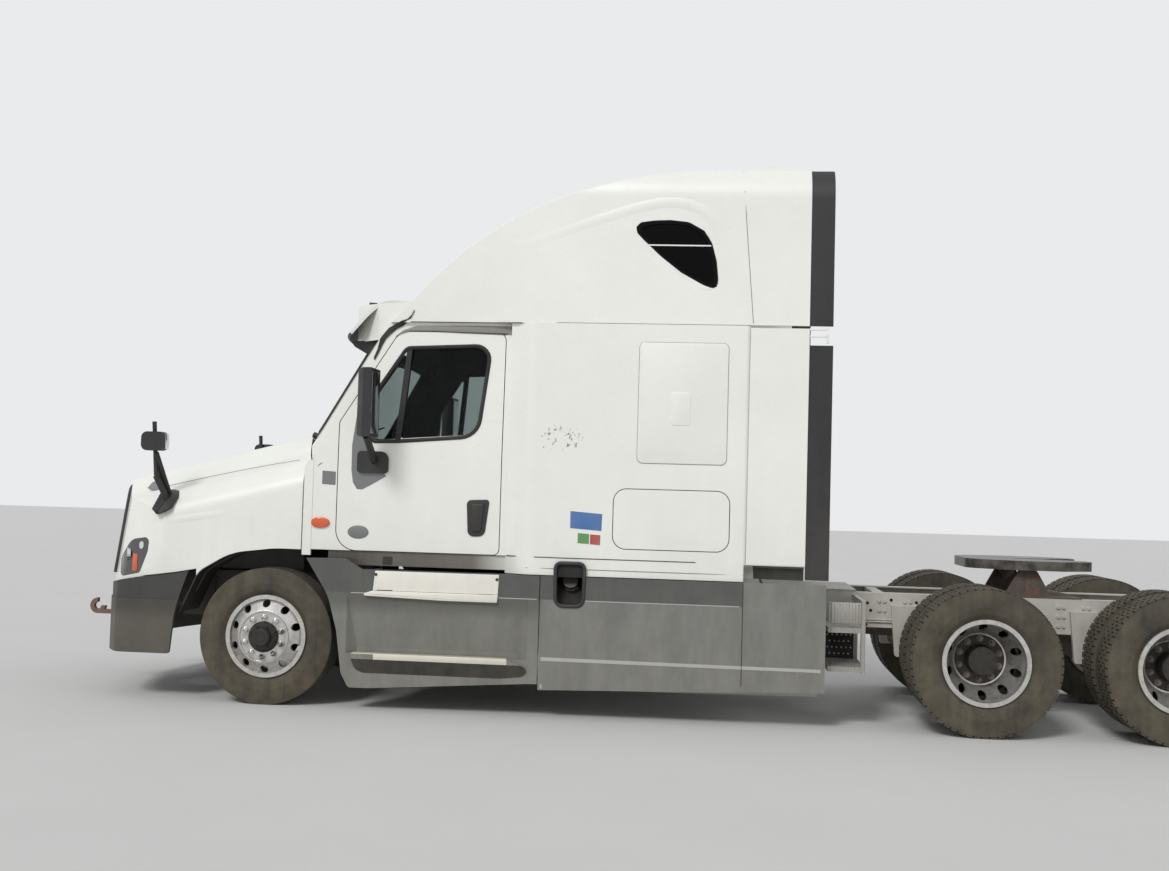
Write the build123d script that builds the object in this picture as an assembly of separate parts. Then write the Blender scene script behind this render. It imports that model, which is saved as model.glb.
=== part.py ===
from build123d import *
import os
from math import asin, cos, hypot, pi, radians, sin, tan

# A highway tractor with a raised-roof sleeper, facing -X, its left side towards -Y, standing on z = 0.
# Millimetres. Places along the truck are measured from the front axle, and only the last step moves
# the whole truck so that its origin is under the middle of its length.

# Axles, tyres and track
WHEELBASE = 5106
TANDEM_SPACING = 1295
FRONT_TYRE_R = 494
DRIVE_TYRE_R = 512
TYRE_WIDTH = 280
FRONT_TRACK_HALF = 1050
DUAL_MIDDLE = 925
DUAL_SPACING = 343
RIM_R = 285
RIM_FLANGE_R = 299
RIM_WIDTH = 236
RIM_LIP = 18
DRIVE_AXLES_X = (WHEELBASE, WHEELBASE + TANDEM_SPACING)

# Wheel discs, hubs and brakes
DISC_THICK = 22
HAND_HOLE_R = 28.5
HAND_HOLE_CIRCLE_R = 237
HAND_HOLES = 10
DISC_FACE_R = 188
HUB_R = 108
BRAKE_DRUM_R = 200
FRONT_DISC_OUT = 155
SPINDLE_R = 46
HUB_BARREL_R = 78
HUB_CAP_R = 64
AXLE_FLANGE_R = 94

# Ladder frame
RAIL_OUTER = 430
RAIL_FLANGE = 90
RAIL_PLATE = 9
RAIL_BOTTOM = 657
RAIL_TOP = 915
FRAME_FRONT_X = -1240
REAR_OVERHANG = 769
FRAME_REAR_X = DRIVE_AXLES_X[1] + REAR_OVERHANG
CROSSMEMBERS_X = (-1236, 1300, 2300, 3500, 4450, WHEELBASE + 644, FRAME_REAR_X - 80)
CAB_MOUNTS_X = (460, 1800, 3260)
CROSSMEMBER_LENGTH = 80
CROSSMEMBER_HEIGHT = 80

# Engine, gearbox and driveshafts
SHAFT_Z = 740
GEARBOX_REAR_X = 1260
AXLE_NOSE = 262

# Tow hooks
HOOK_TIP_X = -1690
HOOK_Y = 450
HOOK_Z = 600
HOOK_THICK = 34
HOOK_EYE_R = 62

# Steering and front suspension
KINGPIN_Y = 865
KINGPIN_R = 22
KINGPIN_BOSS_R = 44
KINGPIN_BOSS_HALF = 55
PIN_GAP = 0.08
EAR_THICK = 34
EAR_GAP = 5
STEERING_ARM_X = 210
TIE_ROD_R = 21
BEAM_WIDTH = 100
BEAM_HEIGHT = 105
BEAM_DROP = 70
SPRING_HALF_LENGTH = 720
SPRING_WIDTH = 90
SPRING_THICK = 60
SPRING_EYE_Z = 605

# Cab and sleeper
CAB_HALF = 1130
SLEEPER_HALF = 1200
WALL = 60
FLOOR_Z = 1135
SILL_SHOULDER_Z = 1900
ROOF_SEAM_Z = 2812
CAB_TOP_HALF = CAB_HALF - 50
CAB_SIDE_FRONT_X = 233
CAB_MIDDLE_FRONT_X = 53
WINDSHIELD_HALF = CAB_HALF - 180
WINDSHIELD_RAKE = 0.59
CAB_REAR_X = 1740
BAND_FRONT_X = 1771
BAND_REAR_X = 1901
SLEEPER_REAR_X = 3455
SHUT_GAP = 6
GLASS_DEPTH = 16
GLASS_THICK = 8
SEAT_GAP = 0.3
LIP_THICK = 14
LIP_LAP = 18

# Raised roof, a dome about a vertical axis that runs straight behind it
ROOF_AXIS_X = 3193
ROOF_SIDE_HALF = SLEEPER_HALF - 5
ROOF_FRONT_HALF = CAB_HALF - 25
ROOF_WALL = 40
EXTENDER_FRONT_X = SLEEPER_REAR_X
EXTENDER_REAR_X = 3865
EXTENDER_EDGE_X = 4030
EXTENDER_THICK = 26
EXTENDER_EDGE_THICK = 14
BAND_INNER = 880
LAMP_Z = ROOF_SEAM_Z + 155.2

# Hood
HOOD_WALL = 22
HOOD_SLOPE = 0.253
NOSE_LEAN = 0.144
HOOD_HALF = CAB_HALF - 5
HOOD_SECTION_X = -970
HOOD_PIVOT_X = -1385
HOOD_PIVOT_Z = 700
HOOD_PIN_R = 16
HOOD_ARM_IN = 300
HOOD_ARM_OUT = 324
HOOD_GAP = 8
GRILLE_HALF = 500
GRILLE_BARS = 7

# Bumper and side fairings
BUMPER_HALF = HOOD_HALF + 25
BUMPER_STEP = 8
BUMPER_SPLIT_Z = 731
BUMPER_WALL = 24
BUMPER_MIDDLE_X = -1460
FAIRING_OUT = SLEEPER_HALF + 20
FAIRING_WALL = 25
FAIRING_TOP = 1004
FAIRING_SEAM_X = 2010
FAIRING_REAR_X = 4014
FOOT_DEPTH = 65
STEP_OUT = 30
STEP_TOP = 405
SILL_WALL = 25
SILL_BOTTOM = 1010
CAB_SILL_BOTTOM = 1030
LINER_THICK = 8
LINER_IN = 740

# Fifth wheel
FIFTH_X = WHEELBASE + 454
FIFTH_TOP = 1190
FIFTH_HALF = 470
KINGPIN_LOCK_R = 25.5
FIFTH_PLATE_THICK = 24
FIFTH_PIVOT_Z = 1085
FIFTH_PIN_R = 24

# Tanks and boxes hung on the frame
TANK_R = 300
TANK_Y = 860
TANK_Z = 715
TANK_FRONT_X = 1960
TANK_REAR_X = 3560
BOX_FRONT_X = 700
BOX_REAR_X = 1880
BOX_BOTTOM = 380
BOX_TOP = 985

MIDDLE_X = (HOOK_TIP_X + FRAME_REAR_X + 30) / 2

# Each view gives an outline's own two directions and the direction across it.
VIEWS = {
    "side": (Vector(1, 0, 0), Vector(0, 0, 1), Vector(0, 1, 0)),
    "front": (Vector(0, 1, 0), Vector(0, 0, 1), Vector(1, 0, 0)),
    "plan": (Vector(1, 0, 0), Vector(0, 1, 0), Vector(0, 0, 1)),
}


def is_anticlockwise(points):
    area = 0
    for here, after in zip(points, points[1:] + points[:1]):
        area += here[0] * after[1] - after[0] * here[1]
    return area > 0


def inset(points, gap):
    """An outline of (u, v, corner radius) points, moved inwards by gap, or outwards if gap is negative."""
    turn_sign = 1 if is_anticlockwise(points) else -1
    moved = []
    for before, here, after in zip(points[-1:] + points[:-1], points, points[1:] + points[:1]):
        along = [here[i] - before[i] for i in (0, 1)]
        onward = [after[i] - here[i] for i in (0, 1)]
        normals = []
        for step in (along, onward):
            length = hypot(*step)
            normals.append((-turn_sign * step[1] / length, turn_sign * step[0] / length))
        share = gap / (1 + normals[0][0] * normals[1][0] + normals[0][1] * normals[1][1])
        convex = turn_sign * (along[0] * onward[1] - along[1] * onward[0]) > 0
        radius = here[2] if len(here) > 2 else 0
        if radius:
            radius = max(radius - gap, 1) if convex else max(radius + gap, 1)
        moved.append((
            here[0] + share * (normals[0][0] + normals[1][0]),
            here[1] + share * (normals[0][1] + normals[1][1]),
            radius,
        ))
    return moved


def outline(view, points):
    """A flat face from (u, v) or (u, v, corner radius) points, with each corner rounded by its radius.
    Where two roundings want more than the edge between them has, both shrink to fit."""
    u_axis, v_axis, _ = VIEWS[view]
    places = [u_axis * p[0] + v_axis * p[1] for p in points]
    count = len(places)
    backs = [(places[i - 1] - places[i]) for i in range(count)]
    ons = [(places[(i + 1) % count] - places[i]) for i in range(count)]
    halves = [radians(backs[i].get_angle(ons[i])) / 2 for i in range(count)]
    reaches = [(p[2] if len(p) > 2 else 0) / tan(halves[i]) for i, p in enumerate(points)]
    ends = []
    for i, corner in enumerate(places):
        if not reaches[i]:
            ends.append((corner, corner, None))
            continue
        room_back = backs[i].length / (reaches[i] + reaches[i - 1])
        room_on = ons[i].length / (reaches[i] + reaches[(i + 1) % count])
        reach = reaches[i] * min(1, room_back, room_on)
        back, on = backs[i].normalized(), ons[i].normalized()
        radius = reach * tan(halves[i])
        middle = corner + (back + on).normalized() * (radius / sin(halves[i]) - radius)
        ends.append((corner + back * reach, corner + on * reach, middle))
    edges = []
    for i, (enter, leave, middle) in enumerate(ends):
        if middle is not None:
            edges.append(Edge.make_three_point_arc(enter, middle, leave))
        start_next = ends[(i + 1) % count][0]
        if (start_next - leave).length > 1e-4:
            edges.append(Edge.make_line(leave, start_next))
    return Face(Wire(edges))


def prism(view, points, start, end, lean=0):
    """An outline carried from start to end across its view; lean shifts a plan outline along X per mm
    of height, and lifts a front outline along Z per mm of length."""
    across = VIEWS[view][2]
    drift = {"plan": Vector(1, 0, 0), "front": Vector(0, 0, 1), "side": Vector(0, 0, 0)}[view]
    path = across + drift * lean
    face = outline(view, points).moved(Location(path * start))
    return extrude(face, amount=path.length * (end - start), dir=path.normalized())


def box(x0, x1, y0, y1, z0, z1):
    return Solid.make_box(x1 - x0, y1 - y0, z1 - z0).moved(Location((x0, y0, z0)))


def rod(start, end, radius):
    """A round bar between two points."""
    start, end = Vector(*start), Vector(*end)
    plane = Plane(origin=start, z_dir=end - start)
    return Solid.make_cylinder(radius, (end - start).length, plane)


def across_rod(x, z, y0, y1, radius):
    return rod((x, y0, z), (x, y1, z), radius)


def upright_rod(x, y, z0, z1, radius):
    return rod((x, y, z0), (x, y, z1), radius)


def both_sides(shape):
    """The shape on the left with its mirror image on the right."""
    return [shape, mirror(shape, about=Plane.XZ)]


def fused(shapes):
    first, *rest = shapes
    return first.fuse(*rest) if rest else first


def bowed(end_u, middle_u, half):
    """Corner and radius that bow an edge from (end_u, +-half) out to (middle_u, 0)."""
    sag = end_u - middle_u
    radius = (half**2 + sag**2) / (2 * sag)
    angle = asin(half / radius)
    return middle_u - radius / cos(angle) + radius, 0.9999 * radius


def spun(points, x=0, z=0, side=-1):
    """A ring about a wheel's own axis from (outboard distance, radius, corner radius) points."""
    turned = [(side * p[0], z + p[1], *p[2:]) for p in points]
    face = outline("front", turned).moved(Location((x, 0, 0)))
    return revolve(face, Axis((x, 0, z), (0, 1, 0)))


# Wheels. Each profile is (distance out from the truck's middle, radius, corner radius).
def tyre(middle, radius, x):
    half = TYRE_WIDTH / 2
    bead = RIM_WIDTH / 2 - RIM_LIP - 1
    side = [
        (bead, RIM_R), (bead, RIM_FLANGE_R + 2), (half - 10, RIM_R + 62), (half, RIM_R + 100),
        (half - 6, radius - 60), (half - 16, radius - 24), (half - 38, radius),
    ]
    profile = [(middle + u, v) for u, v in side] + [(middle - u, v) for u, v in reversed(side)]
    return spun(profile, x, radius)


def rim(middle, radius, x):
    half = RIM_WIDTH / 2
    profile = [
        (middle - half, RIM_FLANGE_R - 30), (middle + half, RIM_FLANGE_R - 30), (middle + half, RIM_FLANGE_R),
        (middle + half - RIM_LIP, RIM_FLANGE_R), (middle + half - RIM_LIP, RIM_R - SEAT_GAP),
        (middle - half + RIM_LIP, RIM_R - SEAT_GAP), (middle - half + RIM_LIP, RIM_FLANGE_R),
        (middle - half, RIM_FLANGE_R),
    ]
    return spun(profile, x, radius)


def disc(face, root, z, x, rise):
    """A dished disc: flat at its bolt face, then sloping back to the rim at root."""
    inner, outer = sorted((face, face - DISC_THICK * rise))
    back = face - DISC_THICK * rise
    step = 6 * (1 if root > face else -1)
    profile = [
        (face, 0), (face, DISC_FACE_R - 14), (face + step, DISC_FACE_R + 6), (root, RIM_FLANGE_R - 26),
        (root - 30 * rise, RIM_FLANGE_R - 26), (back + step, DISC_FACE_R - 6), (back, DISC_FACE_R - 26), (back, 0),
    ]
    plate = spun(profile, x, z)
    for k in range(HAND_HOLES):
        angle = 2 * pi * (k + 0.5) / HAND_HOLES
        hole_x = x + HAND_HOLE_CIRCLE_R * cos(angle)
        hole_z = z + HAND_HOLE_CIRCLE_R * sin(angle)
        reach = (min(inner, root) - 80, max(outer, root) + 80)
        plate = plate - across_rod(hole_x, hole_z, -reach[1], -reach[0], HAND_HOLE_R)
    return plate


def front_wheel():
    """Left steered wheel: the disc stands out over the hub, with the brake drum behind it."""
    z = FRONT_TYRE_R
    face = FRONT_TRACK_HALF + FRONT_DISC_OUT
    root = FRONT_TRACK_HALF + RIM_WIDTH / 2 - 30
    hub = spun([(face - 1, 0), (face + 30, 0), (face + 30, HUB_R - 20), (face - 1, HUB_R)], 0, z)
    cap = spun([(face + 29, 0), (face + 68, 0), (face + 68, HUB_CAP_R - 10), (face + 58, HUB_CAP_R), (face + 29, HUB_CAP_R)], 0, z)
    drum_in = FRONT_TRACK_HALF - 90
    drum = spun([
        (drum_in, BRAKE_DRUM_R - 14), (drum_in, BRAKE_DRUM_R), (face - DISC_THICK + 1, BRAKE_DRUM_R - 20),
        (face - DISC_THICK + 1, 60), (face - DISC_THICK - 16, 60), (face - DISC_THICK - 16, BRAKE_DRUM_R - 34),
    ], 0, z)
    barrel = spun([
        (face - 190, SPINDLE_R + PIN_GAP), (face - DISC_THICK + 1, SPINDLE_R + PIN_GAP),
        (face - DISC_THICK + 1, HUB_BARREL_R), (face - 190, HUB_BARREL_R),
    ], 0, z)
    return fused([rim(FRONT_TRACK_HALF, z, 0), disc(face, root, z, 0, 1), hub, cap, drum, barrel])


def twin_wheels(x):
    """Left twin set: two discs back to back, the drum, and the axle flange that drives them."""
    z = DRIVE_TYRE_R
    outer_mid = DUAL_MIDDLE + DUAL_SPACING / 2
    inner_mid = DUAL_MIDDLE - DUAL_SPACING / 2
    outer_disc = disc(DUAL_MIDDLE, outer_mid + 20, z, x, -1)
    inner_disc = disc(DUAL_MIDDLE, inner_mid - 20, z, x, 1)
    barrel = spun([
        (DUAL_MIDDLE - 125, SPINDLE_R + PIN_GAP), (DUAL_MIDDLE + 11, SPINDLE_R + PIN_GAP),
        (DUAL_MIDDLE + 11, HUB_R), (DUAL_MIDDLE - 125, HUB_R),
    ], x, z)
    hub = spun([
        (DUAL_MIDDLE + 10, 0), (DUAL_MIDDLE + 150, 0), (DUAL_MIDDLE + 150, AXLE_FLANGE_R - 6),
        (DUAL_MIDDLE + 144, AXLE_FLANGE_R), (DUAL_MIDDLE + 128, AXLE_FLANGE_R), (DUAL_MIDDLE + 126, 74),
        (DUAL_MIDDLE + 10, HUB_R),
    ], x, z)
    drum = spun([
        (inner_mid - 60, 110), (inner_mid - 60, BRAKE_DRUM_R), (DUAL_MIDDLE - DISC_THICK + 1, BRAKE_DRUM_R - 25),
        (DUAL_MIDDLE - DISC_THICK + 1, 60), (DUAL_MIDDLE - DISC_THICK - 20, 60), (inner_mid - 30, 110),
    ], x, z)
    bore = spun([(DUAL_MIDDLE - 126, 0), (DUAL_MIDDLE + 10, 0), (DUAL_MIDDLE + 10, SPINDLE_R + PIN_GAP),
                 (DUAL_MIDDLE - 126, SPINDLE_R + PIN_GAP)], x, z)
    whole = fused([rim(outer_mid, z, x), rim(inner_mid, z, x), outer_disc, inner_disc, barrel, drum])
    return (whole - bore) + hub


def twin_tyres(x):
    return [tyre(DUAL_MIDDLE + shift * DUAL_SPACING / 2, DRIVE_TYRE_R, x) for shift in (1, -1)]


# Frame
def rail():
    """One C-section rail, its open side towards the middle of the truck."""
    inner = -RAIL_OUTER + RAIL_FLANGE
    section = [
        (-RAIL_OUTER, RAIL_BOTTOM), (inner, RAIL_BOTTOM), (inner, RAIL_BOTTOM + RAIL_PLATE),
        (-RAIL_OUTER + RAIL_PLATE, RAIL_BOTTOM + RAIL_PLATE), (-RAIL_OUTER + RAIL_PLATE, RAIL_TOP - RAIL_PLATE),
        (inner, RAIL_TOP - RAIL_PLATE), (inner, RAIL_TOP), (-RAIL_OUTER, RAIL_TOP),
    ]
    return prism("front", section, FRAME_FRONT_X, FRAME_REAR_X)


def tow_hook():
    """A forged open hook on a drop plate at the front of the rail."""
    eye_x = HOOK_TIP_X + HOOK_EYE_R
    y0, y1 = -HOOK_Y - HOOK_THICK / 2, -HOOK_Y + HOOK_THICK / 2
    eye = across_rod(eye_x, HOOK_Z, y0, y1, HOOK_EYE_R)
    shank = box(eye_x, FRAME_FRONT_X + 20, y0, y1, HOOK_Z - HOOK_EYE_R, HOOK_Z - HOOK_EYE_R + HOOK_THICK)
    mouth = box(eye_x, eye_x + HOOK_EYE_R + 5, y0 - 1, y1 + 1, HOOK_Z, HOOK_Z + HOOK_EYE_R + 5)
    bore = across_rod(eye_x, HOOK_Z, y0 - 1, y1 + 1, HOOK_EYE_R - HOOK_THICK)
    plate = box(FRAME_FRONT_X, FRAME_FRONT_X + 160, -HOOK_Y - 30, -RAIL_OUTER, HOOK_Z - 90, RAIL_TOP - 40)
    return fused([(eye + shank) - mouth - bore, plate])


def spring_hangers():
    """Brackets under the rail that take the two eyes of the front spring."""
    hangers = []
    for x in (-SPRING_HALF_LENGTH, SPRING_HALF_LENGTH):
        hangers.append(box(x - 45, x + 45, -RAIL_OUTER - 25, -RAIL_OUTER, SPRING_EYE_Z - 60, RAIL_TOP - 60))
    return hangers


def drive_hangers():
    """Cast hangers that carry the trailing arms of the drive axles."""
    side = [(0, 0, 20), (150, 0, 20), (170, 376), (-30, 376)]
    hangers = []
    for axle_x in DRIVE_AXLES_X:
        points = [(axle_x - 520 + u, 449 + v, *r) for u, v, *r in side]
        hangers.append(prism("side", points, -RAIL_OUTER - 40, -RAIL_OUTER))
    return hangers


def cab_mounts():
    """Pedestals on the rail under the cab's front corner and the sleeper's two ends."""
    return [box(x, x + 120, -RAIL_OUTER, -RAIL_OUTER + RAIL_FLANGE, RAIL_TOP, FLOOR_Z) for x in CAB_MOUNTS_X]


def frame_brackets():
    """Everything bolted to the two rails: spring hangers, drive hangers and cab pedestals."""
    brackets = [*spring_hangers(), *drive_hangers(), *cab_mounts()]
    return [piece for bracket in brackets for piece in both_sides(bracket)]


def ladder_frame():
    left = [rail(), tow_hook()]
    pieces = left + [mirror(piece, about=Plane.XZ) for piece in left]
    web = RAIL_OUTER - RAIL_PLATE
    for x in CROSSMEMBERS_X:
        top = RAIL_TOP - RAIL_PLATE
        low = top - CROSSMEMBER_HEIGHT
        member = box(x, x + CROSSMEMBER_LENGTH, -web - 1, web + 1, low, top)
        pocket = box(x + RAIL_PLATE, x + CROSSMEMBER_LENGTH + 1, -web + 40, web - 40, low + 10, top - 10)
        pieces.append(member - pocket)
    return fused(pieces)


def engine_and_gearbox():
    """One block for the engine, with the gearbox behind it and four feet on the rails."""
    lower = RAIL_OUTER - RAIL_FLANGE - 20
    block = box(-980, 20, -lower, lower, 545, RAIL_TOP + 12) + box(-980, 20, -400, 400, RAIL_TOP + 12, 1450)
    housing = rod((10, 0, 800), (420, 0, 800), 290) + rod((400, 0, SHAFT_Z), (GEARBOX_REAR_X, 0, SHAFT_Z), 190)
    feet = [box(x, x + 90, side - 30, side + 30, RAIL_TOP, RAIL_TOP + 13) for x in (-900, -200) for side in (-370, 370)]
    return fused([block, housing, *feet])


def driveshaft(front_x, front_z, rear_x, rear_z, radius):
    """A tube with a short yoke at each end, square to the flanges that it is bolted to."""
    yokes = [rod((front_x, 0, front_z), (front_x + 60, 0, front_z), radius + 12),
             rod((rear_x - 60, 0, rear_z), (rear_x, 0, rear_z), radius + 12)]
    return fused([rod((front_x + 40, 0, front_z), (rear_x - 40, 0, rear_z), radius), *yokes])


def driveshafts():
    """The shaft from the gearbox to the first drive axle and the short one between the drive axles."""
    first = driveshaft(GEARBOX_REAR_X, SHAFT_Z, WHEELBASE - AXLE_NOSE, 600, 52)
    second = driveshaft(WHEELBASE + AXLE_NOSE, 590, DRIVE_AXLES_X[1] - AXLE_NOSE, 600, 48)
    return [first, second]


def radiator():
    """Core in front of the engine, standing on the rails."""
    low = RAIL_OUTER - RAIL_FLANGE - 15
    core = box(-1150, -1040, -480, 480, RAIL_TOP + 12, 1490)
    skirt = box(-1150, -1040, -low, low, 700, RAIL_TOP + 12)
    feet = [box(-1150, -1040, side - 30, side + 30, RAIL_TOP, RAIL_TOP + 13) for side in (-385, 385)]
    return fused([core, skirt, *feet])


def axle_beam():
    """Forged front axle: an I-beam, dropped in the middle, with a kingpin at each end."""
    z = FRONT_TYRE_R
    low = z - BEAM_DROP
    half = BEAM_HEIGHT / 2
    side = [
        (-KINGPIN_Y, z - half), (-KINGPIN_Y + 90, z - half, 60), (-500, low - half, 80), (500, low - half, 80),
        (KINGPIN_Y - 90, z - half, 60), (KINGPIN_Y, z - half), (KINGPIN_Y, z + half),
        (KINGPIN_Y - 90, z + half, 60), (500, low + half, 80), (-500, low + half, 80),
        (-KINGPIN_Y + 90, z + half, 60), (-KINGPIN_Y, z + half),
    ]
    beam = prism("front", side, -BEAM_WIDTH / 2, BEAM_WIDTH / 2)
    web = inset(side, 24)
    for face_x in (-BEAM_WIDTH / 2 - 1, BEAM_WIDTH / 2 - 29):
        beam = beam - (prism("front", web, face_x, face_x + 30) & box(-200, 200, -740, 740, 0, 1000))
    pieces = [beam]
    for side_sign in (-1, 1):
        y = side_sign * KINGPIN_Y
        gap_out = box(-200, 200, min(y, y + side_sign * 300), max(y, y + side_sign * 300), 0, 1000)
        pieces[0] = pieces[0] - gap_out
        pieces.append(upright_rod(0, y, z - KINGPIN_BOSS_HALF, z + KINGPIN_BOSS_HALF, KINGPIN_BOSS_R))
        reach = KINGPIN_BOSS_HALF + EAR_GAP + EAR_THICK
        pieces.append(upright_rod(0, y, z - reach, z + reach, KINGPIN_R))
    for y in (-385, 385):
        pieces.append(box(-70, 70, y - 50, y + 50, low + half - 10, spring_bottom()))
    return fused(pieces)


def spring_bottom():
    return SPRING_EYE_Z - 85 - SPRING_THICK / 2


def leaf_spring():
    """A bowed leaf pack with an eye at each end, under the rail."""
    mid_z = SPRING_EYE_Z - 85
    half = SPRING_THICK / 2
    upper = ThreePointArc(
        (-SPRING_HALF_LENGTH, 0, SPRING_EYE_Z + 0.3 * half), (0, 0, mid_z + half),
        (SPRING_HALF_LENGTH, 0, SPRING_EYE_Z + 0.3 * half))
    lower = ThreePointArc(
        (SPRING_HALF_LENGTH, 0, SPRING_EYE_Z - 0.62 * half), (0, 0, mid_z - half),
        (-SPRING_HALF_LENGTH, 0, SPRING_EYE_Z - 0.62 * half))
    ends = [Edge.make_line(upper @ 1, lower @ 0), Edge.make_line(lower @ 1, upper @ 0)]
    face = Face(Wire([upper.edges()[0], ends[0], lower.edges()[0], ends[1]]))
    y = -385 - SPRING_WIDTH / 2
    pack = extrude(face.moved(Location((0, y, 0))), amount=SPRING_WIDTH, dir=(0, 1, 0))
    pad = box(-70, 70, y, y + SPRING_WIDTH, spring_bottom(), mid_z)
    eyes = [across_rod(x, SPRING_EYE_Z, -RAIL_OUTER, y + SPRING_WIDTH, 32)
            for x in (-SPRING_HALF_LENGTH, SPRING_HALF_LENGTH)]
    return fused([pack, pad, *eyes])


def knuckle():
    """Left steering knuckle: a fork round the kingpin boss, the spindle and the steering arm."""
    z = FRONT_TYRE_R
    low = z - KINGPIN_BOSS_HALF - EAR_GAP
    high = z + KINGPIN_BOSS_HALF + EAR_GAP
    web_y = KINGPIN_Y + KINGPIN_BOSS_R + 6
    fork = [box(-42, 42, -web_y - 34, -web_y, low - EAR_THICK, high + EAR_THICK)]
    for z0 in (low - EAR_THICK, high):
        ear = upright_rod(0, -KINGPIN_Y, z0, z0 + EAR_THICK, 46)
        ear = ear + box(-42, 42, -web_y - 1, -KINGPIN_Y, z0, z0 + EAR_THICK)
        fork.append(ear - upright_rod(0, -KINGPIN_Y, z0 - 1, z0 + EAR_THICK + 1, KINGPIN_R + PIN_GAP))
    spindle_end = FRONT_TRACK_HALF + FRONT_DISC_OUT - DISC_THICK - 6
    spindle = across_rod(0, z, -spindle_end, -web_y - 30, SPINDLE_R)
    arm_z = low - EAR_THICK
    arm = box(34, STEERING_ARM_X, -KINGPIN_Y - 17, -KINGPIN_Y + 17, arm_z, arm_z + EAR_THICK)
    boss = upright_rod(STEERING_ARM_X, -KINGPIN_Y, arm_z, arm_z + EAR_THICK, 30)
    stud = upright_rod(STEERING_ARM_X, -KINGPIN_Y, arm_z - 52, arm_z + 2, 11)
    return fused([*fork, spindle, arm, boss, stud])


def tie_rod():
    """The rod between the two steering arms, with an eye round each stud."""
    z = FRONT_TYRE_R - KINGPIN_BOSS_HALF - EAR_GAP - EAR_THICK - 30
    reach = KINGPIN_Y - 24
    bar = across_rod(STEERING_ARM_X, z, -reach, reach, TIE_ROD_R)
    pieces = [bar]
    for y in (-KINGPIN_Y, KINGPIN_Y):
        pieces.append(upright_rod(STEERING_ARM_X, y, z - 24, z + 24, 29))
    whole = fused(pieces)
    for y in (-KINGPIN_Y, KINGPIN_Y):
        whole = whole - upright_rod(STEERING_ARM_X, y, z - 60, z + 60, 11 + PIN_GAP)
    return whole


def drive_axle(x):
    """Banjo housing with its tubes; the hubs turn on the tubes' ends."""
    z = DRIVE_TYRE_R
    tube_end = DUAL_MIDDLE - DUAL_SPACING / 2 + 40
    tube = across_rod(x, z, -tube_end, tube_end, 66)
    banjo = rod((x - 130, 0, z), (x + 130, 0, z), 215)
    nose = rod((x - AXLE_NOSE, 0, 600), (x - 110, 0, 600), 95)
    tail = rod((x + 110, 0, 590), (x + AXLE_NOSE, 0, 590), 80)
    seats = [box(x - 70, x + 70, y - 45, y + 45, z - 140, z) for y in (-385, 385)]
    spindle = across_rod(x, z, -DUAL_MIDDLE - 4, DUAL_MIDDLE + 4, SPINDLE_R)
    return fused([tube, spindle, banjo, nose, tail, *seats])


def trailing_arm(x):
    """Trailing arm from the hanger, under the axle, back to the air spring."""
    points = [
        (x - 460, 560, 40), (x - 380, 560, 40), (x - 150, 372, 60), (x + 420, 372, 20), (x + 420, 330, 20),
        (x - 190, 330, 60), (x - 460, 470, 40),
    ]
    arm = prism("side", points, -385 - 40, -385 + 40)
    pin = across_rod(x - 430, 515, -RAIL_OUTER, -385, 26)
    return arm + pin


def air_spring(x):
    """Rolling-lobe bag between the arm and the rail."""
    profile = [
        (0, 372), (95, 372), (95, 432), (138, 446), (150, 470), (150, 590), (140, 618), (120, 632),
        (120, RAIL_BOTTOM), (0, RAIL_BOTTOM),
    ]
    face = outline("front", profile).moved(Location((x + 330, -385, 0)))
    return revolve(face, Axis((x + 330, -385, 0), (0, 0, 1)))


# Cab
cab_apex, cab_bow = bowed(CAB_SIDE_FRONT_X, CAB_MIDDLE_FRONT_X, WINDSHIELD_HALF)
CAB_PLAN = [
    (CAB_SIDE_FRONT_X, -WINDSHIELD_HALF), (cab_apex, 0, cab_bow), (CAB_SIDE_FRONT_X, WINDSHIELD_HALF),
    (CAB_SIDE_FRONT_X + 110, CAB_HALF + 100), (3000, CAB_HALF + 100), (3000, -CAB_HALF - 100),
    (CAB_SIDE_FRONT_X + 110, -CAB_HALF - 100),
]
CAB_FRONT = [
    (-CAB_HALF, FLOOR_Z), (CAB_HALF, FLOOR_Z), (CAB_HALF, SILL_SHOULDER_Z, 3000),
    (CAB_TOP_HALF, ROOF_SEAM_Z + 100), (-CAB_TOP_HALF, ROOF_SEAM_Z + 100), (-CAB_HALF, SILL_SHOULDER_Z, 3000),
]
DOOR = [
    (488, 1138, 150), (1690, 1138, 40), (1690, ROOF_SEAM_Z - 67, 60), (905, ROOF_SEAM_Z - 67, 110),
    (486, 2070, 60),
]
GLASS_TOP = ROOF_SEAM_Z - 174
DOOR_GLASS_REAR = [(940, 1958, 20), (1500, 2000, 140), (1575, GLASS_TOP, 90), (1000, GLASS_TOP - 2, 20)]
DOOR_GLASS_FRONT = [(728, 1944, 35), (906, 1954, 15), (968, GLASS_TOP - 26, 15), (752, 2290, 120)]
WINDSHIELD = [
    (20 - WINDSHIELD_HALF, 1990, 70), (WINDSHIELD_HALF - 20, 1990, 70),
    (WINDSHIELD_HALF - 70, GLASS_TOP + 2, 70), (70 - WINDSHIELD_HALF, GLASS_TOP + 2, 70),
]
ROOF_WINDOW = [
    (2590, ROOF_SEAM_Z + 733, 50), (3080, ROOF_SEAM_Z + 798, 160), (3228, ROOF_SEAM_Z + 263, 55),
    (3090, ROOF_SEAM_Z + 293, 60), (2760, ROOF_SEAM_Z + 533, 300),
]
LUGGAGE_DOOR = [(2517, 1214, 90), (3332, 1214, 90), (3332, 1635, 90), (2517, 1635, 90)]


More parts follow.
